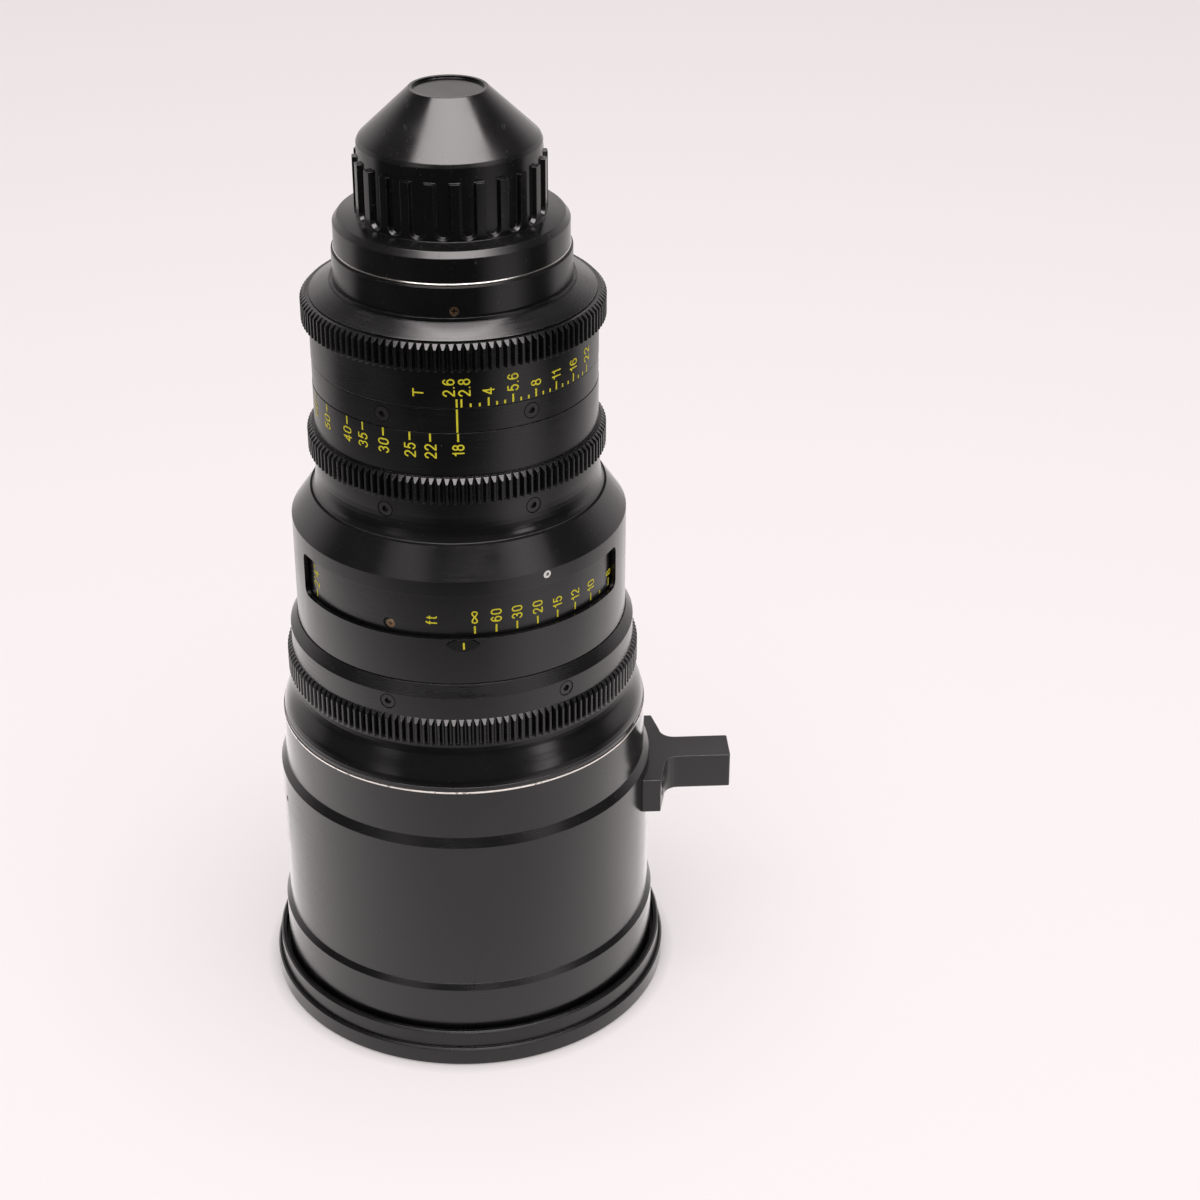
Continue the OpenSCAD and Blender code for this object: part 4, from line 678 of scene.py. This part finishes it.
def circle(r, steps):
    """Points of a circle."""
    turns = [2 * math.pi * i / steps for i in range(steps)]
    return [(r * math.cos(a), r * math.sin(a)) for a in turns]


def cross_outline(reach, half_w):
    """The corners of a cross, clockwise."""
    arm = [(half_w, half_w), (reach, half_w), (reach, -half_w)]
    corners = []
    for quarter in range(4):
        c, s = math.cos(-quarter * math.pi / 2), math.sin(-quarter * math.pi / 2)
        corners += [(x * c - y * s, x * s + y * c) for x, y in arm]
    return corners


def cross(reach, half_w):
    """A flat cross."""
    mesh = bmesh.new()
    mesh.faces.new([mesh.verts.new((*point, 0)) for point in cross_outline(reach, half_w)])
    return mesh


def cross_head(radius, rise, reach, half_w):
    """A thin screw head with a cross-shaped opening."""
    head = bmesh.new()

    def loop(points, z):
        verts = [head.verts.new((*point, z)) for point in points]
        return [head.edges.new((verts[i - 1], verts[i])) for i in range(len(verts))]

    opening = cross_outline(reach, half_w)
    top_rim = loop(circle(radius - rise, HEAD_STEPS), rise)
    top_opening = loop(opening, rise)
    bmesh.ops.bridge_loops(head, edges=top_rim + loop(circle(radius, HEAD_STEPS), 0))
    bmesh.ops.bridge_loops(head, edges=top_opening + loop(opening, 0))
    bmesh.ops.triangle_fill(head, use_beauty=True, edges=top_rim + top_opening)
    return head


def flat_ring(inner, outer):
    """A flat ring between two radii."""
    ring = bmesh.new()
    rims = [(ring.verts.new((*near, 0)), ring.verts.new((*far, 0)))
            for near, far in zip(circle(inner, RING_STEPS), circle(outer, RING_STEPS))]
    for i in range(RING_STEPS):
        ring.faces.new((*rims[i - 1], *reversed(rims[i])))
    return ring


# Marks on the rings


class Scale:
    """Marks wrapped round a cylinder of radius r mm about the lens axis."""

    def __init__(self, name, r):
        self.r = r + MARK_LIFT
        self.mesh = bpy.data.meshes.new(name)
        self.all = bmesh.new()

    def wrap(self, flat, az, z):
        """Sets flat marks so that x runs up from z and y to the left of az."""
        reach = max(abs(v.co.y) for v in flat.verts)
        steps = int(reach / MARK_CURVE_STEP) + 1
        for i in range(-steps, steps + 1):
            cut = flat.verts[:] + flat.edges[:] + flat.faces[:]
            where = (0, i * MARK_CURVE_STEP, 0)
            bmesh.ops.bisect_plane(flat, geom=cut, plane_co=where, plane_no=(0, 1, 0))
        for v in flat.verts:
            turn = math.degrees(v.co.y / self.r)
            v.co = spot(az - turn, (self.r + v.co.z) * MM, (z + v.co.x) * MM)
        part = bpy.data.meshes.new("part")
        flat.to_mesh(part)
        flat.free()
        self.all.from_mesh(part)
        bpy.data.meshes.remove(part)

    def tick(self, az, z, length):
        """A line that runs up from z."""
        flat = bmesh.new()
        half = MARK_W / 2
        corners = [(0, -half), (length, -half), (length, half), (0, half)]
        flat.faces.new([flat.verts.new((x, y, 0)) for x, y in corners])
        self.wrap(flat, az, z)

    def text(self, text, az, z, cap, ends_there=False):
        """Text that reads upwards from z, or up to z."""
        flat = letters(text, cap)
        length = max(v.co.x for v in flat.verts)
        self.wrap(flat, az, z - length if ends_there else z)

    def place(self, body, look):
        """Makes the marks a piece that rides on a body, with their faces outwards."""
        bmesh.ops.recalc_face_normals(self.all, faces=self.all.faces[:])
        for face in self.all.faces:
            middle = face.calc_center_median()
            if face.normal.dot(Vector((middle.x, middle.y, 0))) < 0:
                face.normal_flip()
        self.all.to_mesh(self.mesh)
        self.all.free()
        self.mesh.materials.append(look)
        piece = add_to_scene(self.mesh.name, self.mesh)
        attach(piece, body)


def add_iris_marks(band_r):
    """The T scale, with its steps in thirds."""
    marks = Scale("iris_marks", band_r)
    tick_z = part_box("iris_ring")[0].z / MM + IRIS_TICK_INSET
    for text, az, turn in IRIS_SCALE:
        marks.tick(az, tick_z, TICK)
        marks.text(text, az + turn, tick_z + TICK + LETTER_TO_TICK, NUMBER_CAP)
    stepped = IRIS_SCALE[IRIS_FIRST_STEPPED:]
    for (_, az, _), (_, next_az, _) in zip(stepped, stepped[1:]):
        for i in range(1, IRIS_THIRDS):
            marks.tick(az + (next_az - az) * i / IRIS_THIRDS, tick_z, MINOR_TICK)
    sign, az, rise = IRIS_SIGN
    marks.text(sign, az, tick_z + rise, SIGN_CAP)
    marks.place("iris_ring", FINISHED["scale_yellow"])


def add_zoom_marks(band_r):
    """The scale of focal lengths."""
    marks = Scale("zoom_marks", band_r)
    top_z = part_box("zoom_ring")[1].z / MM - ZOOM_TICK_INSET
    for text, az in ZOOM_SCALE:
        marks.tick(az, top_z - TICK, TICK)
        marks.text(text, az, top_z - TICK - LETTER_TO_TICK, NUMBER_CAP, ends_there=True)
    marks.place("zoom_ring", FINISHED["scale_yellow"])


def add_index_marks(band_r):
    """The lines that the scales are read at, on the index ring and on the focus index plate."""
    marks = Scale("index_marks", band_r)
    low, high = (c.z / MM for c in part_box("index_ring"))
    marks.tick(0, low, high - low)
    low, high = (c.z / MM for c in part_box("focus_index_plate"))
    marks.r = outer_radius_front("focus_index_plate") / MM + MARK_LIFT
    marks.tick(PLATE_LINE_AZ, low + PLATE_LINE_INSET, high - low - 2 * PLATE_LINE_INSET)
    marks.place("barrel", FINISHED["scale_yellow"])


def add_focus_marks(drum_r):
    """The scale of distances on the drum behind the window."""
    marks = Scale("focus_marks", drum_r)
    for text, az in FOCUS_SCALE:
        marks.tick(az, FOCUS_TICK_Z, TICK if text else MINOR_TICK)
        if text:
            marks.text(text, az, FOCUS_TICK_Z + TICK + LETTER_TO_TICK, FOCUS_CAP)
    sign, az, rise = FOCUS_SIGN
    marks.text(sign, az, FOCUS_TICK_Z + rise, FOCUS_CAP)
    marks.place("focus_ring", FINISHED["scale_yellow"])


def add_neck_seam_shade():
    """Painted shade: a black strip on the neck's root, for the dark joint between the housing and the neck.
    """
    seam_shade = bmesh.new()
    turns = [360 / SEAM_STEPS * i for i in range(SEAM_STEPS)]
    rows = [[seam_shade.verts.new(spot(az, r * MM, z * MM)) for az in turns] for r, z in NECK_SEAM_SHADE]
    for low, high in zip(rows, rows[1:]):
        for i in range(SEAM_STEPS):
            seam_shade.faces.new((low[i - 1], low[i], high[i], high[i - 1]))
    mesh = bpy.data.meshes.new("neck_seam_shade")
    seam_shade.to_mesh(mesh)
    seam_shade.free()
    mesh.materials.append(FINISHED["gap_black"])
    neck_seam_shade = add_to_scene("neck_seam_shade", mesh)
    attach(neck_seam_shade, "barrel")


def add_screw_gap_shades():
    """Painted shade: flat black rings around the heads of the rings' screws, where their gaps are."""
    for node, body, r, first_az in SCREW_GAPS:
        gaps = Scale(node + "_gaps", r)
        low, high = (c.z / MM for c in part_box(node))
        for i in range(RING_SCREWS):
            ring = flat_ring(SCREW_HEAD_R, SCREW_HEAD_R + SCREW_GAP)
            gaps.wrap(ring, first_az + 360 / RING_SCREWS * i, (low + high) / 2)
        gaps.place(body, FINISHED["gap_black"])


def add_collar_cross_shades():
    """Painted shade: flat black crosses that lie half a lift off the heads of the collar's screws, for their
    recesses.
    """
    low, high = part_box("collar_screws")
    crosses = Scale("collar_screw_cross_shades", -low.y / MM - MARK_LIFT / 2)
    for i in range(COLLAR_SCREWS):
        crosses.wrap(cross(*COLLAR_CROSS), 360 / COLLAR_SCREWS * i, (low.z + high.z) / 2 / MM)
    crosses.place("barrel", FINISHED["gap_black"])


def add_drum_screw(drum_r):
    """The brass screw of the focus drum, with its recess to the left as a flat ring of painted shade."""
    recess = Scale("drum_screw_recess_shade", drum_r)
    recess.wrap(flat_ring(*DRUM_RECESS), DRUM_SCREW_AZ - DRUM_RECESS_TURN, DRUM_SCREW_Z)
    recess.place("focus_ring", FINISHED["gap_black"])
    screw = Scale("drum_screw", drum_r)
    screw.wrap(cross_head(*DRUM_SCREW_HEAD), DRUM_SCREW_AZ, DRUM_SCREW_Z)
    screw.place("focus_ring", FINISHED["screw_brass"])


band_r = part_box("index_ring")[1].x / MM + BAND_STEP
drum_r = outer_radius("focus_scale_drum") / MM
add_iris_marks(band_r)
add_zoom_marks(band_r)
add_index_marks(band_r)
add_focus_marks(drum_r)
add_neck_seam_shade()
add_screw_gap_shades()
add_collar_cross_shades()
add_drum_screw(drum_r)


# Studio


def aim_at(obj, place, target):
    """Puts a light or the camera at a place, looking at a target."""
    obj.location = place
    obj.rotation_mode = "QUATERNION"
    obj.rotation_quaternion = (target - place).to_track_quat("-Z", "Y")


def pool(tree, centre, near, far, bright, dim):
    """Brightness around a point of the table, from near to far."""
    distance = tree.add("ShaderNodeVectorMath", operation="DISTANCE")
    tree.join(tree.object_place(), distance.inputs[0])
    distance.inputs[1].default_value = (*centre, 0)
    return tree.spread(distance.outputs["Value"], near, far, bright, dim)


def mirrored_table(tree):
    """The table as the black finishes mirror it: lit around the lens, with the dark room in front of it."""
    back = tree.spread(tree.axes(tree.object_place())["Y"], *TABLE_BACK)
    lit = tree.maths("MAXIMUM", pool(tree, *TABLE_POOL), back)
    for patch in TABLE_PATCHES:
        lit = tree.maths("ADD", lit, pool(tree, *patch))
    return tree.glow(lit)


def seen_straight(tree, path):
    """1 for what the camera sees, also through glass."""
    return tree.maths("MAXIMUM", path.outputs["Is Camera Ray"], path.outputs["Is Transmission Ray"])


def build_floor():
    """The table: plain under the lamp, glowing to a pale ground for the camera, and mirrored with pools."""
    mesh = bpy.data.meshes.new("floor")
    half = FLOOR_SIZE / 2
    corners = [(-half, -half, 0), (half, -half, 0), (half, half, 0), (-half, half, 0)]
    mesh.from_pydata(corners, [], [(0, 1, 2, 3)])
    floor = add_to_scene("floor", mesh)
    material = bpy.data.materials.new("floor")
    material.use_nodes = True
    tree = Tree(material.node_tree)
    path = tree.add("ShaderNodeLightPath")
    glow = tree.maths("MINIMUM", pool(tree, (0, 0), *CONTACT_SHADE), pool(tree, (0, 0), *NEAR_SHADE))
    shader = tree.data.nodes["Principled BSDF"]
    shader.inputs["Base Color"].default_value = (*[FLOOR_MATT * c for c in PALE], 1)
    shader.inputs["Roughness"].default_value = 1
    shader.inputs["Specular IOR Level"].default_value = 0
    shader.inputs["Emission Color"].default_value = (*PALE, 1)
    strength = tree.maths("MULTIPLY", glow, seen_straight(tree, path))
    tree.join(strength, shader.inputs["Emission Strength"])
    mix = tree.add("ShaderNodeMixShader")
    tree.join(path.outputs["Is Glossy Ray"], mix.inputs[0])
    tree.join(shader.outputs[0], mix.inputs[1])
    tree.join(mirrored_table(tree), mix.inputs[2])
    tree.join(mix.outputs[0], tree.data.nodes["Material Output"].inputs["Surface"])
    mesh.materials.append(material)


def build_world():
    """A dim room with a pale backdrop low behind the lens."""
    world = bpy.data.worlds.new("studio")
    world.use_nodes = True
    tree = Tree(world.node_tree)
    way = tree.axes(tree.add("ShaderNodeTexCoord").outputs["Generated"])
    not_above = tree.spread(way["Z"], *BACKDROP_TOP, to_low=1, to_high=0)
    behind = tree.maths("MULTIPLY", tree.mask(way["Y"], *BACKDROP_FRONT), not_above)
    mirrored = tree.spread(behind, 0, 1, ROOM, BACKDROP)
    path = tree.add("ShaderNodeLightPath")
    lit = tree.mix("FLOAT", path.outputs["Is Glossy Ray"], SKY_LIGHT, mirrored)
    seen = tree.mix("FLOAT", seen_straight(tree, path), lit, SKY_SEEN)
    background = tree.data.nodes["Background"]
    background.inputs["Color"].default_value = (*PALE, 1)
    tree.join(seen, background.inputs["Strength"])
    bpy.context.scene.world = world


def only_mirrored(obj):
    """Leaves an object to reflections alone."""
    obj.visible_camera = False
    obj.visible_diffuse = False
    obj.visible_transmission = False
    obj.visible_volume_scatter = False
    obj.visible_shadow = False


def light_place(az, elevation, away):
    """The point at an azimuth, an elevation and a distance from what the lights aim at."""
    e = math.radians(elevation)
    return SOFTBOX_AIM + away * spot(az, math.cos(e), math.sin(e))


def light_face(name, place, width, strength, fade):
    """The glowing face of a light as the black finishes mirror it, dimmer towards its rim."""
    disk = bmesh.new()
    bmesh.ops.create_circle(disk, cap_ends=True, segments=FACE_CORNERS, radius=width / 2)
    mesh = bpy.data.meshes.new(name)
    disk.to_mesh(mesh)
    disk.free()
    material = bpy.data.materials.new(name)
    material.use_nodes = True
    tree = Tree(material.node_tree)
    tree.data.nodes.clear()
    near, far = (share * width for share in FACE_FADE)
    glow = tree.glow(pool(tree, (0, 0), near, far, strength, strength * fade))
    tree.join(glow, tree.add("ShaderNodeOutputMaterial").inputs["Surface"])
    mesh.materials.append(material)
    face = add_to_scene(name, mesh)
    aim_at(face, light_place(*place), SOFTBOX_AIM)
    only_mirrored(face)


def build_lights():
    """The lamp over the lens, with the faces of all lights as reflections alone."""
    lamp = bpy.data.lights.new("softbox", "AREA")
    lamp.shape = "DISK"
    lamp.size = SOFTBOX_WIDTH
    lamp.energy = SOFTBOX_POWER
    softbox = add_to_scene("softbox", lamp)
    aim_at(softbox, light_place(*SOFTBOX_PLACE), SOFTBOX_AIM)
    softbox.visible_glossy = False
    light_face("softbox_face", SOFTBOX_PLACE, SOFTBOX_WIDTH, SOFTBOX_GLOW, SOFTBOX_FADE)
    for i, (place, width, strength) in enumerate(SIDE_LIGHTS, 1):
        light_face("side_light_%d" % i, place, width, strength, SIDE_FADE)


def build_camera():
    data = bpy.data.cameras.new("camera")
    data.sensor_width = CAMERA_SENSOR
    data.lens = CAMERA_LENS
    data.clip_start, data.clip_end = CAMERA_CLIP
    camera = add_to_scene("camera", data)
    aim_at(camera, CAMERA_PLACE, CAMERA_AIM)
    camera.rotation_quaternion = camera.rotation_quaternion @ Quaternion((0, 0, 1), CAMERA_ROLL)
    bpy.context.scene.camera = camera


build_camera()
build_world()
build_lights()
build_floor()
bpy.context.scene.view_settings.view_transform = "Standard"
